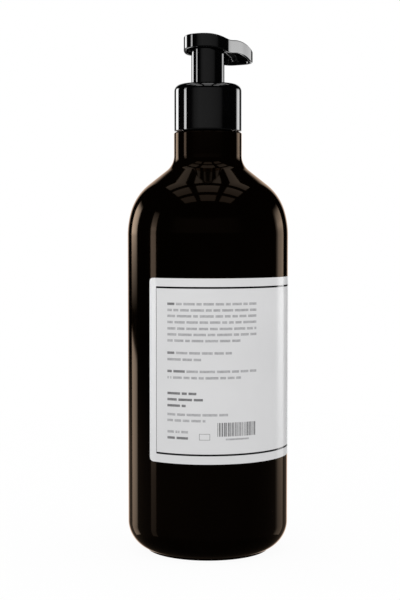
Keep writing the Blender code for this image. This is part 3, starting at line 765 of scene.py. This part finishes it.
headInside = {
    "sleeveClearance": 0.00035,
    "sleeveWall": 0.0012,
    "sleeveSteps": 96,
    "socketRadius": 0.0057,
    "socketBore": 0.0042,
    "socketBottom": 0.25384,
    "socketSteps": 64,
    "footEdge": 0.0003,
    "nozzleRadius": 0.0023,
    "nozzleBore": 0.0014,
    "nozzleDrop": 0.0044,
    "nozzleCover": 0.0009,
    "nozzleReach": 0.0300,
    "nozzleElbow": 0.0035,
    "nozzleRecess": 0.0008,
    "nozzleLip": 0.0002,
    "levelSteps": 14,
    "elbowSteps": 12,
    "roundSteps": 32,
}


def easeBetween(value, start, end):
    share = min(1.0, max(0.0, (value - start) / (end - start)))
    return share * share * (3.0 - 2.0 * share)


def headDrop(shape, reach):
    # how far the head's top edge lies below its highest point
    step, stepStart, stepEnd = shape["step"]
    rise, riseEnd = shape["rise"]
    droopStart, droopRadius, droopSlope = shape["droop"]
    drop = step * easeBetween(reach, stepStart, stepEnd) - rise * easeBetween(reach, stepEnd, riseEnd)
    past = max(0.0, reach - droopStart)
    bend = droopRadius * droopSlope
    if past < bend:
        return drop + past * past / (2 * droopRadius)
    return drop + bend * droopSlope / 2 + (past - bend) * droopSlope


def headSkirt(shape, reach):
    skirt, beakSkirt, tipSkirt = shape["skirt"], shape["beakSkirt"], shape["tipSkirt"]
    near = easeBetween(reach, shape["step"][1], shape["step"][2])
    far = easeBetween(reach, shape["skirtFall"], shape["length"])
    return skirt + (beakSkirt - skirt) * near + (tipSkirt - beakSkirt) * far


def headHalfWidth(shape, reach):
    start, power = shape["tipStart"], shape["tipPower"]
    width = shape["radius"] + (shape["halfWidth"] - shape["radius"]) * easeBetween(reach, 0.0, start)
    if reach <= start:
        return width
    share = min(1.0, (reach - start) / (shape["length"] - start))
    return width * (1.0 - share ** power) ** (1.0 / power)


def headOutline(shape):
    # points round the head with their outward directions, seen from above
    points = []
    for i in range(shape["backSteps"]):
        angle = pi * i / shape["backSteps"]
        points.append(Vector((shape["radius"] * cos(angle), shape["radius"] * sin(angle))))
    start, beyond = shape["tipStart"], shape["length"] - shape["tipStart"]
    reaches = [start * i / shape["sideSteps"] for i in range(shape["sideSteps"])]
    reaches += [start + beyond * sin(pi / 2 * i / shape["tipSteps"]) for i in range(shape["tipSteps"] + 1)]
    points += [Vector((-headHalfWidth(shape, reach), -reach)) for reach in reaches]
    points += [Vector((headHalfWidth(shape, reach), -reach)) for reach in reversed(reaches[1:-1])]
    outline = []
    for i, point in enumerate(points):
        along = points[(i + 1) % len(points)] - points[i - 1]
        outline.append((point, Vector((along.y, -along.x)).normalized()))
    return outline


def quarterTurn(steps):
    # sines and cosines at even steps through a right angle
    return [(sin(pi / 2 * k / steps), cos(pi / 2 * k / steps)) for k in range(steps + 1)]


def addHeadShell(bm, shape, top):
    outline = headOutline(shape)
    ahead, behind = shape["spine"]
    rings = []

    def topAt(y):
        return top - headDrop(shape, -y)

    def footAt(y):
        return topAt(y) - headSkirt(shape, -y)

    def ring(inset, height, toSpine=0.0):
        verts = []
        for point, outward in outline:
            spot = point - outward * inset
            spineY = max(spot.y, -shape["length"] * ahead) if spot.y < 0.0 else spot.y * behind
            y = spot.y + (spineY - spot.y) * toSpine
            verts.append(bm.verts.new((spot.x * (1.0 - toSpine), y, height(y))))
        rings.append(verts)

    edge, foot, wall, fillet = shape["topEdge"], shape["footEdge"], shape["wall"], shape["innerFillet"]
    plate, flatSteps = shape["plate"], shape["flatSteps"]
    for k in range(flatSteps):
        ring(edge, topAt, 1.0 - k / flatSteps)
    ring(edge, topAt, shape["besideEdge"])
    for s, c in quarterTurn(shape["topEdgeSteps"]):
        ring(edge * (1 - s), lambda y: topAt(y) - edge * (1 - c))
    for share in shape["sideLevels"]:
        ring(0.0, lambda y: (topAt(y) - edge) * (1 - share) + (footAt(y) + foot) * share)
    for s, c in quarterTurn(shape["edgeSteps"]):
        ring(foot * (1 - c), lambda y: footAt(y) + foot * (1 - s))
    for s, c in quarterTurn(shape["edgeSteps"]):
        ring(wall - foot + foot * s, lambda y: footAt(y) + foot * (1 - c))
    for s, c in quarterTurn(shape["edgeSteps"]):
        ring(wall + fillet * (1 - c), lambda y: topAt(y) - plate - fillet * (1 - s))
    for k in range(1, flatSteps + 1):
        ring(wall + fillet, lambda y: topAt(y) - plate, k / flatSteps)
    bridgeAll(bm, rings)
    bmesh.ops.remove_doubles(bm, verts=bm.verts, dist=onAxis)


def nozzleStations(shape, inside, top):
    # the tube's middle line, level under the top and then down through an elbow
    bend = inside["nozzleReach"] - inside["nozzleElbow"]
    reach = inside["nozzleReach"]
    outlet = -headDrop(shape, reach) - headSkirt(shape, reach) + inside["nozzleRecess"]
    path = []
    for i in range(inside["levelSteps"] + 1):
        reach = inside["socketBore"] + (bend - inside["socketBore"]) * i / inside["levelSteps"]
        depth = max(inside["nozzleDrop"], headDrop(shape, reach) + inside["nozzleCover"] + inside["nozzleBore"])
        path.append((reach, -depth))
    start = path[-1][1]
    for s, c in quarterTurn(inside["elbowSteps"])[1:]:
        path.append((bend + inside["nozzleElbow"] * s, start + (outlet - start) * (1 - c)))
    stations = []
    sideways = Vector((1.0, 0.0, 0.0))
    for i, (reach, depth) in enumerate(path):
        ahead = path[min(i + 1, len(path) - 1)]
        behind = path[max(i - 1, 0)]
        along = Vector((0.0, -(ahead[0] - behind[0]), ahead[1] - behind[1])).normalized()
        stations.append((Vector((0.0, -reach, top + depth)), sideways, along.cross(sideways)))
    return stations


def addNozzle(bm, inside, stations):
    outer, hollow, lip = inside["nozzleRadius"], inside["nozzleBore"], inside["nozzleLip"]
    last = stations[-1]
    above = (last[0] + Vector((0, 0, lip)), last[1], last[2])
    rounds = [(station, outer) for station in stations[:-1]]
    rounds += [(above, outer), (last, outer - lip), (last, hollow + lip), (above, hollow)]
    rounds += [(station, hollow) for station in reversed(stations[:-1])]
    loops = []
    for (origin, sideways, upwards), radius in rounds:
        places = [origin + sideways * radius * c + upwards * radius * s
                  for c, s in circle(inside["roundSteps"])]
        loops.append([bm.verts.new(place) for place in places])
    bridgeAll(bm, loops)
    bridge(bm, loops[-1], loops[0])
    return [vert for loop in loops for vert in loop]


def makeHead(shape, inside):
    sleeveBottom, top = levels("actuator_head")
    bm = bmesh.new()
    addHeadShell(bm, shape, top)

    # sleeve, stem socket and nozzle tube, each let into the top plate
    sleeve = coverShape["sleeveHole"] - inside["sleeveClearance"]
    sleeveTube = (sleeve, sleeve - inside["sleeveWall"], sleeveBottom, inside["sleeveSteps"])
    socketTube = (inside["socketRadius"], inside["socketBore"], inside["socketBottom"], inside["socketSteps"])
    edge = inside["footEdge"]
    verts = []
    for outer, bore, bottom, steps in (sleeveTube, socketTube):
        corners = [(outer, top, 0.0), (outer, bottom, edge), (bore, bottom, edge), (bore, top, 0.0)]
        verts += addTurned(bm, filleted(corners), steps)
    verts += addNozzle(bm, inside, nozzleStations(shape, inside, top))
    for vert in verts:
        vert.co.z = min(vert.co.z, top - headDrop(shape, -vert.co.y) - shape["plate"] / 2)
    makePiece("pump_head", bm, glossMaterial, "head", ["actuator_head"])


makeHead(headShape, headInside)
print("pump head formed")


stemShape = {
    "radius": 0.0039,
    "bore": 0.0025,
    "boreFloor": 0.0028,  # the closed foot's thickness
    "foot": 0.0012,  # height of the wider foot
    "boreEdge": 0.0004,
    "edge": 0.0003,
    "footEdge": 0.0002,
    "steps": 64,
}
gasketShape = {"bore": 0.0109, "edge": 0.0002, "steps": 96}
housingShape = {
    "flange": 0.0012,
    "bowl": (0.0106, 0.0094),  # outer radius and bore of each part
    "barrel": (0.0074, 0.0062),
    "tail": (0.00475, 0.00355),
    "bowlFloor": 0.22574,
    "barrelFloor": 0.18574,
    "floorWall": 0.0012,
    "tailTop": 0.17865,
    "seatBore": 0.0017,
    "valveLevel": 0.18005,
    "seatSlope": 0.0009,
    "chamber": 0.003,  # radius of the room round the ball
    "edge": 0.0003,
    "bowlFillet": 0.0008,
    "tailFillet": 0.0005,
    "bowlEdge": 0.0004,
    "seatEdge": 0.0001,
    "chamberEdge": 0.0002,
    "steps": 96,
}
guideShape = {
    "bore": 0.0044,
    "collar": 0.0069,
    "plug": 0.0059,
    "plugHeight": 0.002,
    "flange": 0.0015,
    "flangeFillet": 0.0004,
    "edge": 0.0003,
    "plugEdge": 0.0002,
    "steps": 80,
}
tubeShape = {
    "radius": 0.00325,
    "bore": 0.0024,
    "slant": radians(35.0),  # of the cut at its foot
    "steps": 48,
}
pistonShape = {
    "bore": 0.0042,
    "lip": 0.0008,  # how far the lips stand out from the waist
    "lipHeight": 0.0014,
    "lipRoot": 0.0022,
    "bevel": 0.0004,
    "edge": 0.0002,
    "waistFillet": 0.0003,
    "steps": 80,
}
ballSteps = (48, 32)


def makeStem(shape):
    low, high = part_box("stem")
    floor, foot = low.z + shape["boreFloor"], low.z + shape["foot"]
    edge, footEdge = pick(shape, "edge footEdge")
    corners = [(0.0, floor, 0.0), (shape["bore"], floor, shape["boreEdge"]), (shape["bore"], high.z, edge)]
    corners += [(shape["radius"], high.z, edge), (shape["radius"], foot, edge), (high.x, foot, footEdge)]
    corners += [(high.x, low.z, footEdge), (0.0, low.z, 0.0)]
    turnedPiece("pump_stem", corners, closureMaterial, "head", ["stem"],
                shape["steps"], closed=False)


def makeGasket(shape):
    low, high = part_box("gasket")
    bore, edge = shape["bore"], shape["edge"]
    corners = [(bore, high.z, edge), (high.x, high.z, edge), (high.x, low.z, edge), (bore, low.z, edge)]
    turnedPiece("mouth_gasket", corners, sealMaterial, "pump", ["gasket"], shape["steps"])


def makeHousing(shape):
    # flange, bowl, barrel, ball chamber and tail
    low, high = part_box("pump_housing")
    (bowl, bowlBore), (barrel, barrelBore), (tail, tailBore) = shape["bowl"], shape["barrel"], shape["tail"]
    bowlFloor, barrelFloor, tailTop, seat = pick(shape, "bowlFloor barrelFloor tailTop seatBore")
    edge, fillet, seatEdge, chamber = pick(shape, "edge bowlFillet seatEdge chamber")
    under = high.z - shape["flange"]
    corners = [(bowlBore, high.z, edge), (high.x, high.z, edge), (high.x, under, edge), (bowl, under, edge)]
    corners += [(bowl, bowlFloor, fillet), (barrel, bowlFloor - shape["floorWall"], fillet)]
    corners += [(barrel, barrelFloor, fillet), (tail, barrelFloor - shape["floorWall"], shape["tailFillet"])]
    corners += [(tail, low.z, edge), (tailBore, low.z, edge), (tailBore, tailTop, seatEdge)]
    corners.append((seat, tailTop, seatEdge))
    corners += [(seat, shape["valveLevel"], seatEdge)]
    corners += [(chamber, shape["valveLevel"] + shape["seatSlope"], shape["chamberEdge"])]
    corners += [(chamber, barrelFloor, shape["chamberEdge"]), (barrelBore, barrelFloor, edge)]
    corners += [(barrelBore, bowlFloor, edge), (bowlBore, bowlFloor, shape["bowlEdge"])]
    turnedPiece("pump_barrel", corners, naturalMaterial, "pump", ["pump_housing"],
                shape["steps"])


def makeGuide(shape):
    # holds the stem and the piston in
    low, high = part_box("chaplet")
    bore, collar, plug, edge = shape["bore"], shape["collar"], shape["plug"], shape["edge"]
    shelf = low.z + shape["plugHeight"]
    flangeTop = shelf + shape["flange"]
    corners = [(bore, high.z, edge), (collar, high.z, edge), (collar, flangeTop, shape["flangeFillet"])]
    corners += [(high.x, flangeTop, edge), (high.x, shelf, edge), (plug, shelf, shape["plugEdge"])]
    corners += [(plug, low.z, edge), (bore, low.z, edge)]
    turnedPiece("stem_guide", corners, naturalMaterial, "pump", ["chaplet"], shape["steps"])


def makeDipTube(shape):
    low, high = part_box("dip_tube")
    radius, bore = shape["radius"], shape["bore"]
    bm = bmesh.new()
    corners = [(bore, high.z), (radius, high.z), (radius, low.z), (bore, low.z)]
    for vert in addTurned(bm, corners, shape["steps"]):
        if vert.co.z < (low.z + high.z) / 2:
            vert.co.z = low.z + (radius + vert.co.y) * tan(shape["slant"])
    makePiece("suction_tube", bm, tubeMaterial, "pump", ["dip_tube"])


def makePiston(shape):
    # a ring with two lips
    low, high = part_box("piston_seal")
    rim, bore, bevel, edge = high.x, shape["bore"], shape["bevel"], shape["edge"]
    waist, lip, root, fillet = rim - shape["lip"], shape["lipHeight"], shape["lipRoot"], shape["waistFillet"]
    corners = [(bore, high.z, edge), (rim - bevel, high.z, edge), (rim, high.z - bevel, edge)]
    corners += [(rim, high.z - lip, edge), (waist, high.z - root, fillet), (waist, low.z + root, fillet)]
    corners += [(rim, low.z + lip, edge), (rim, low.z + bevel, edge)]
    corners += [(rim - bevel, low.z, edge), (bore, low.z, edge)]
    turnedPiece("piston_ring", corners, sealMaterial, "piston", ["piston_seal"], shape["steps"])


def makeBall(steps):
    low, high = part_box("valve_ball")
    bm = bmesh.new()
    bmesh.ops.create_uvsphere(bm, u_segments=steps[0], v_segments=steps[1], radius=(high.x - low.x) / 2)
    bmesh.ops.translate(bm, verts=bm.verts, vec=(low + high) / 2)
    makePiece("check_ball", bm, steelMaterial, "ball", ["valve_ball"])


springShape = {
    "wire": 0.001,
    "wireSteps": 12,
    "radius": 0.0045,
    "turns": 7,
    "flatTurns": 1.0,
    "endGap": 0.00005,
    "stepsPerTurn": 48,
    "stroke": 0.015,
}


def makeSpring(shape):
    low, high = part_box("spring")
    wire = shape["wire"]
    height = high.z - low.z - wire
    closedRise = wire + shape["endGap"]
    flat = shape["flatTurns"] / shape["turns"]
    steps = shape["turns"] * shape["stepsPerTurn"]
    stations = []
    for i in range(steps + 1):
        share = i / steps
        if share < flat:
            level = closedRise * share / flat
        elif share > 1.0 - flat:
            level = height - closedRise * (1.0 - share) / flat
        else:
            level = closedRise + (height - 2 * closedRise) * (share - flat) / (1.0 - 2 * flat)
        angle = 2 * pi * shape["turns"] * share
        radial = Vector((cos(angle), sin(angle), 0.0))
        middle = radial * shape["radius"] + Vector((0, 0, low.z + wire / 2 + level))
        stations.append((middle, radial, Vector((0, 0, 1)), 1.0))
    bm = bmesh.new()
    addSweep(bm, stations, [(wire / 2 * c, wire / 2 * s) for c, s in circle(shape["wireSteps"])])
    spring = makePiece("return_spring", bm, steelMaterial, "pump", ["spring"])
    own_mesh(spring)


makeStem(stemShape)
makeGasket(gasketShape)
makeHousing(housingShape)
makeGuide(guideShape)
makeDipTube(tubeShape)
makePiston(pistonShape)
makeBall(ballSteps)
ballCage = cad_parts["ball_stop"].data
ballCage.materials.clear()
ballCage.materials.append(naturalMaterial)
makeSpring(springShape)
print("pump parts made")


# floor, lights and surroundings

leftRimAcross = [(0.0, 0.7), (0.3, 1.0), (0.68, 1.22), (0.84, 1.1), (1.0, 0.35)]
lightSetup = {
    "photoSide": radians(120.0),  # direction from the axis to the camera, as an angle round Z
    "distance": 2.0,
    # each strip lamp: its two edges round the bottle, from the camera towards the right of the picture,
    # its foot and top, its radiance, its tilt, its strength from the first edge to the second and by height
    "strips": {
        "left_rim_high": {
            "edges": (-139.3, -119.6), "foot": 0.0, "top": 1.0, "radiance": 6.5, "tilt": 0.0,
            "across": leftRimAcross,
            "upwards": [
                (0.008, 0.0), (0.03, 0.052), (0.05, 0.124), (0.08, 0.228), (0.11, 0.345), (0.14, 0.5),
                (0.16, 0.66), (0.2, 0.95), (0.24, 1.06), (0.6, 1.06), (0.66, 1.0), (0.72, 0.84),
                (0.78, 0.58), (0.89, 0.12), (0.96, 0.0),
            ],
        },
        "left_rim_low": {
            "edges": (-139.3, -119.6), "foot": -0.9, "top": -0.015, "radiance": 6.5, "tilt": 0.082,
            "across": leftRimAcross,
            "upwards": [
                (-0.45, 0.30), (-0.37, 0.37), (-0.31, 0.43), (-0.10, 0.56), (-0.076, 0.54), (-0.052, 0.0),
            ],
        },
        "left_side": {
            "edges": (-88.0, -78.2), "foot": -0.9, "top": 1.1, "radiance": 11.4, "tilt": 0.0,
            "across": [(0.0, 0.8), (0.2, 1.0), (1.0, 1.0)],
            "upwards": [
                (-0.45, 0.11), (-0.32, 0.2), (0.0, 0.9), (0.06, 0.97), (0.14, 1.04), (0.27, 0.9),
                (0.34, 1.03), (0.43, 1.0), (0.48, 0.8), (0.6, 0.6), (0.69, 0.48), (0.85, 0.3),
                (0.95, 0.2), (1.05, 0.0),
            ],
        },
        "right_rim": {
            "edges": (112.5, 136.5), "foot": -0.9, "top": 0.9, "radiance": 8.6, "tilt": 0.0,
            "across": [(0.0, 0.1), (0.14, 0.4), (0.3, 1.05), (0.6, 1.0), (1.0, 0.72)],
            "upwards": [
                (-0.41, 0.125), (-0.31, 0.165), (0.0, 0.43), (0.22, 0.43), (0.3, 0.5), (0.36, 0.62),
                (0.43, 0.62), (0.5, 0.5), (0.6, 0.42), (0.65, 0.34), (0.72, 0.2), (0.8, 0.06), (0.88, 0.0),
            ],
        },
    },
    "window": {
        "columns": 3,
        "rows": 3,
        "front": 1.15,  # how far it reaches towards the camera, and behind the bottle
        "back": 0.91,
        "halfWidth": 1.03,
        "upright": 0.17,  # between columns
        "bar": 0.21,  # between rows
        "height": 1.6,
        "radiance": (1.55, 2.3, 2.4),  # of the rows, from behind the bottle to the front
    },
    "key": {"azimuth": -35.0, "elevation": 38.0, "distance": 1.8, "aim": 0.12, "size": 1.2, "radiance": 0.42},
    "ambient": 1.04,
    # what gloss mirrors of the room: levels by angle from the camera, and by height (sine of the elevation)
    "frontGrey": 0.31,
    "frontFade": [(-59, 0.0), (-53, 0.22), (-46, 0.65), (-29, 1.0), (9, 0.9), (36, 0.66), (43, 0.5), (53, 0.0)],
    "frontHeights": [(-0.2, 0.1), (-0.06, 0.02), (0.05, 0.03), (0.072, 1.0), (0.34, 1.0), (0.42, 0.0)],
    "backFade": [(-162, 1.0), (-157, 0.0), (157, 0.0), (162, 1.0)],
    "backHeights": [(-0.5, 0.0), (-0.32, 1.0), (0.35, 1.0), (0.6, 0.0)],
    "lowHeights": [(-0.6, 0.06), (-0.35, 0.18), (-0.16, 0.18), (-0.09, 0.0)],
}
floorSetup = {
    "radius": 0.55,
    "innerRing": 0.4,  # as a share of the radius
    "steps": 96,
    "level": -0.0001,
    "seenGlow": 0.95,  # how much of what the camera sees is plain white, over the shaded paint
    "seenGrey": 0.9,
    "unseenGrey": 0.75,  # what lights the object from below
}


def areaLight(name, place, target, width, height, radiance):
    light = bpy.data.lights.new(name, "AREA")
    light.shape = "RECTANGLE"
    light.size = width
    light.size_y = height
    light.energy = radiance * width * height * pi
    lamp = bpy.data.objects.new(name, light)
    lamp.location = place
    lamp.rotation_euler = (Vector(target) - Vector(place)).to_track_quat("-Z", "Y").to_euler()
    lamp.visible_camera = False
    scene.collection.objects.link(lamp)
    return lamp


def shadeStrip(light, strip, sideways, width):
    # the lamp's strength changes with height and across it, as a soft box does
    light.use_nodes = True
    tree = light.node_tree
    where = addNode(tree, "NewGeometry").outputs["Position"]

    def graded(direction, low, high, stops):
        # strength by place along a direction
        dot = addNode(tree, "VectorMath", {1: direction}, {0: where})
        dot.operation = "DOT_PRODUCT"
        first, last = stops[0][0], stops[-1][0]
        shares = [((spot - first) / (last - first), strength) for spot, strength in stops]
        return greyRamp(tree, ranged(tree, dot.outputs["Value"], (low, high)), shares)

    upwards = strip["upwards"]
    leaning = sideways * strip["tilt"] + Vector((0.0, 0.0, 1.0))
    byHeight = graded(leaning, upwards[0][0], upwards[-1][0], upwards)
    strength = combined(tree, "MULTIPLY", byHeight, graded(sideways, -width / 2, width / 2, strip["across"]))
    tree.links.new(strength, tree.nodes["Emission"].inputs["Strength"])


def makeLights(setup):
    side, distance = setup["photoSide"], setup["distance"]
    for name, strip in setup["strips"].items():
        start, end = [side + radians(edge) for edge in strip["edges"]]
        turn = (start + end) / 2
        width = 2 * distance * tan(abs(end - start) / 2)
        tall, middle = strip["top"] - strip["foot"], (strip["foot"] + strip["top"]) / 2
        place = (distance * cos(turn), distance * sin(turn), middle)
        lamp = areaLight(name, place, (0.0, 0.0, middle), width, tall, strip["radiance"])
        lamp.visible_diffuse = False
        shadeStrip(lamp.data, strip, Vector((-sin(turn), cos(turn), 0.0)), width)
    key = setup["key"]
    turn, lift = side + radians(key["azimuth"]), radians(key["elevation"])
    level = key["distance"] * cos(lift)
    place = (level * cos(turn), level * sin(turn), key["distance"] * sin(lift))
    lamp = areaLight("soft_key", place, (0.0, 0.0, key["aim"]), key["size"], key["size"], key["radiance"])
    lamp.visible_glossy = False
    window = setup["window"]
    forward = Vector((cos(side), sin(side), 0.0))
    rightward = Vector((-forward.y, forward.x, 0.0))
    depth = (window["front"] + window["back"]) / window["rows"]
    across = 2 * window["halfWidth"] / window["columns"]
    size = (across - window["upright"], depth - window["bar"])
    for row in range(window["rows"]):
        for column in range(window["columns"]):
            ahead = -window["back"] + depth * (row + 0.5)
            aside = -window["halfWidth"] + across * (column + 0.5)
            place = forward * ahead + rightward * aside + Vector((0, 0, window["height"]))
            name = "window_pane_%d_%d" % (row, column)
            lamp = areaLight(name, place, place - Vector((0, 0, 1)), *size, window["radiance"][row])
            lamp.rotation_euler = (0.0, 0.0, side + pi / 2)
            lamp.visible_diffuse = False


def makeFloor(setup):
    bm = bmesh.new()
    rings = [(0.0, 0.0), (setup["radius"] * setup["innerRing"], 0.0), (setup["radius"], 0.0)]
    addTurned(bm, rings, setup["steps"], closed=False)
    mesh = bpy.data.meshes.new("studio_floor")
    bm.to_mesh(mesh)
    bm.free()
    floor = bpy.data.objects.new("studio_floor", mesh)
    floor.location.z = setup["level"]
    floor.visible_glossy = False  # the gloss mirrors the lamps down to its foot
    scene.collection.objects.link(floor)
    material, tree = newMaterial("studio_floor_white")
    tree.nodes.clear()
    glow = addNode(tree, "Emission", {"Color": grey(1.0), "Strength": 1.0}).outputs["Emission"]
    paint, below = [addNode(tree, "BsdfDiffuse", {"Color": grey(level)}).outputs["BSDF"]
                    for level in (setup["seenGrey"], setup["unseenGrey"])]
    seen = addNode(tree, "MixShader", {"Fac": setup["seenGlow"]}, {1: paint, 2: glow}).outputs["Shader"]
    isSeen = addNode(tree, "LightPath").outputs["Is Camera Ray"]
    mixed = addNode(tree, "MixShader", {}, {"Fac": isSeen, 1: below, 2: seen}).outputs["Shader"]
    addNode(tree, "OutputMaterial", {}, {"Surface": mixed})
    mesh.materials.append(material)


def makeWorld(setup):
    # white to the camera, an even light to matt surfaces; gloss mirrors a dim grey front, the white behind
    # and a pale floor
    world = bpy.data.worlds.new("studio")
    scene.world = world
    world.use_nodes = True
    tree = world.node_tree
    tree.nodes.clear()
    where = addNode(tree, "TexCoord").outputs["Generated"]
    turned = addNode(tree, "Mapping", {"Rotation": (0.0, 0.0, -setup["photoSide"])}, {"Vector": where})
    dial = addNode(tree, "TexGradient", {}, {"Vector": turned.outputs["Vector"]})
    dial.gradient_type = "RADIAL"
    split = addNode(tree, "SeparateXYZ", {}, {"Vector": where})
    rise = ranged(tree, split.outputs["Z"], (-1.0, 1.0))

    def byAngle(stops, most=1.0):
        shares = [(angle / 360.0 + 0.5, level * most) for angle, level in stops]
        return greyRamp(tree, dial.outputs["Fac"], shares)

    def byHeight(stops):
        return greyRamp(tree, rise, [(height / 2 + 0.5, level) for height, level in stops])

    def mixed(share, first, second):
        return addNode(tree, "MixShader", {}, {"Fac": share, 1: first, 2: second}).outputs["Shader"]

    frontAngles = byAngle(setup["frontFade"], setup["frontGrey"])
    front = combined(tree, "MULTIPLY", frontAngles, byHeight(setup["frontHeights"]))
    back = combined(tree, "MULTIPLY", byAngle(setup["backFade"]), byHeight(setup["backHeights"]))
    room = combined(tree, "ADD", combined(tree, "ADD", front, back), byHeight(setup["lowHeights"]))
    even, mirrored, white = [addNode(tree, "Background", {"Color": grey(1.0), "Strength": strength})
                             for strength in (setup["ambient"], 1.0, 1.0)]
    tree.links.new(room, mirrored.inputs["Strength"])
    path = addNode(tree, "LightPath").outputs
    isSeen = combined(tree, "MAXIMUM", path["Is Camera Ray"], path["Is Transmission Ray"])
    unseen = mixed(path["Is Glossy Ray"], even.outputs["Background"], mirrored.outputs["Background"])
    surface = mixed(isSeen, unseen, white.outputs["Background"])
    addNode(tree, "OutputWorld", {}, {"Surface": surface})


makeFloor(floorSetup)
makeLights(lightSetup)
makeWorld(lightSetup)
scene.view_settings.view_transform = "Standard"
print("floor and lights set")
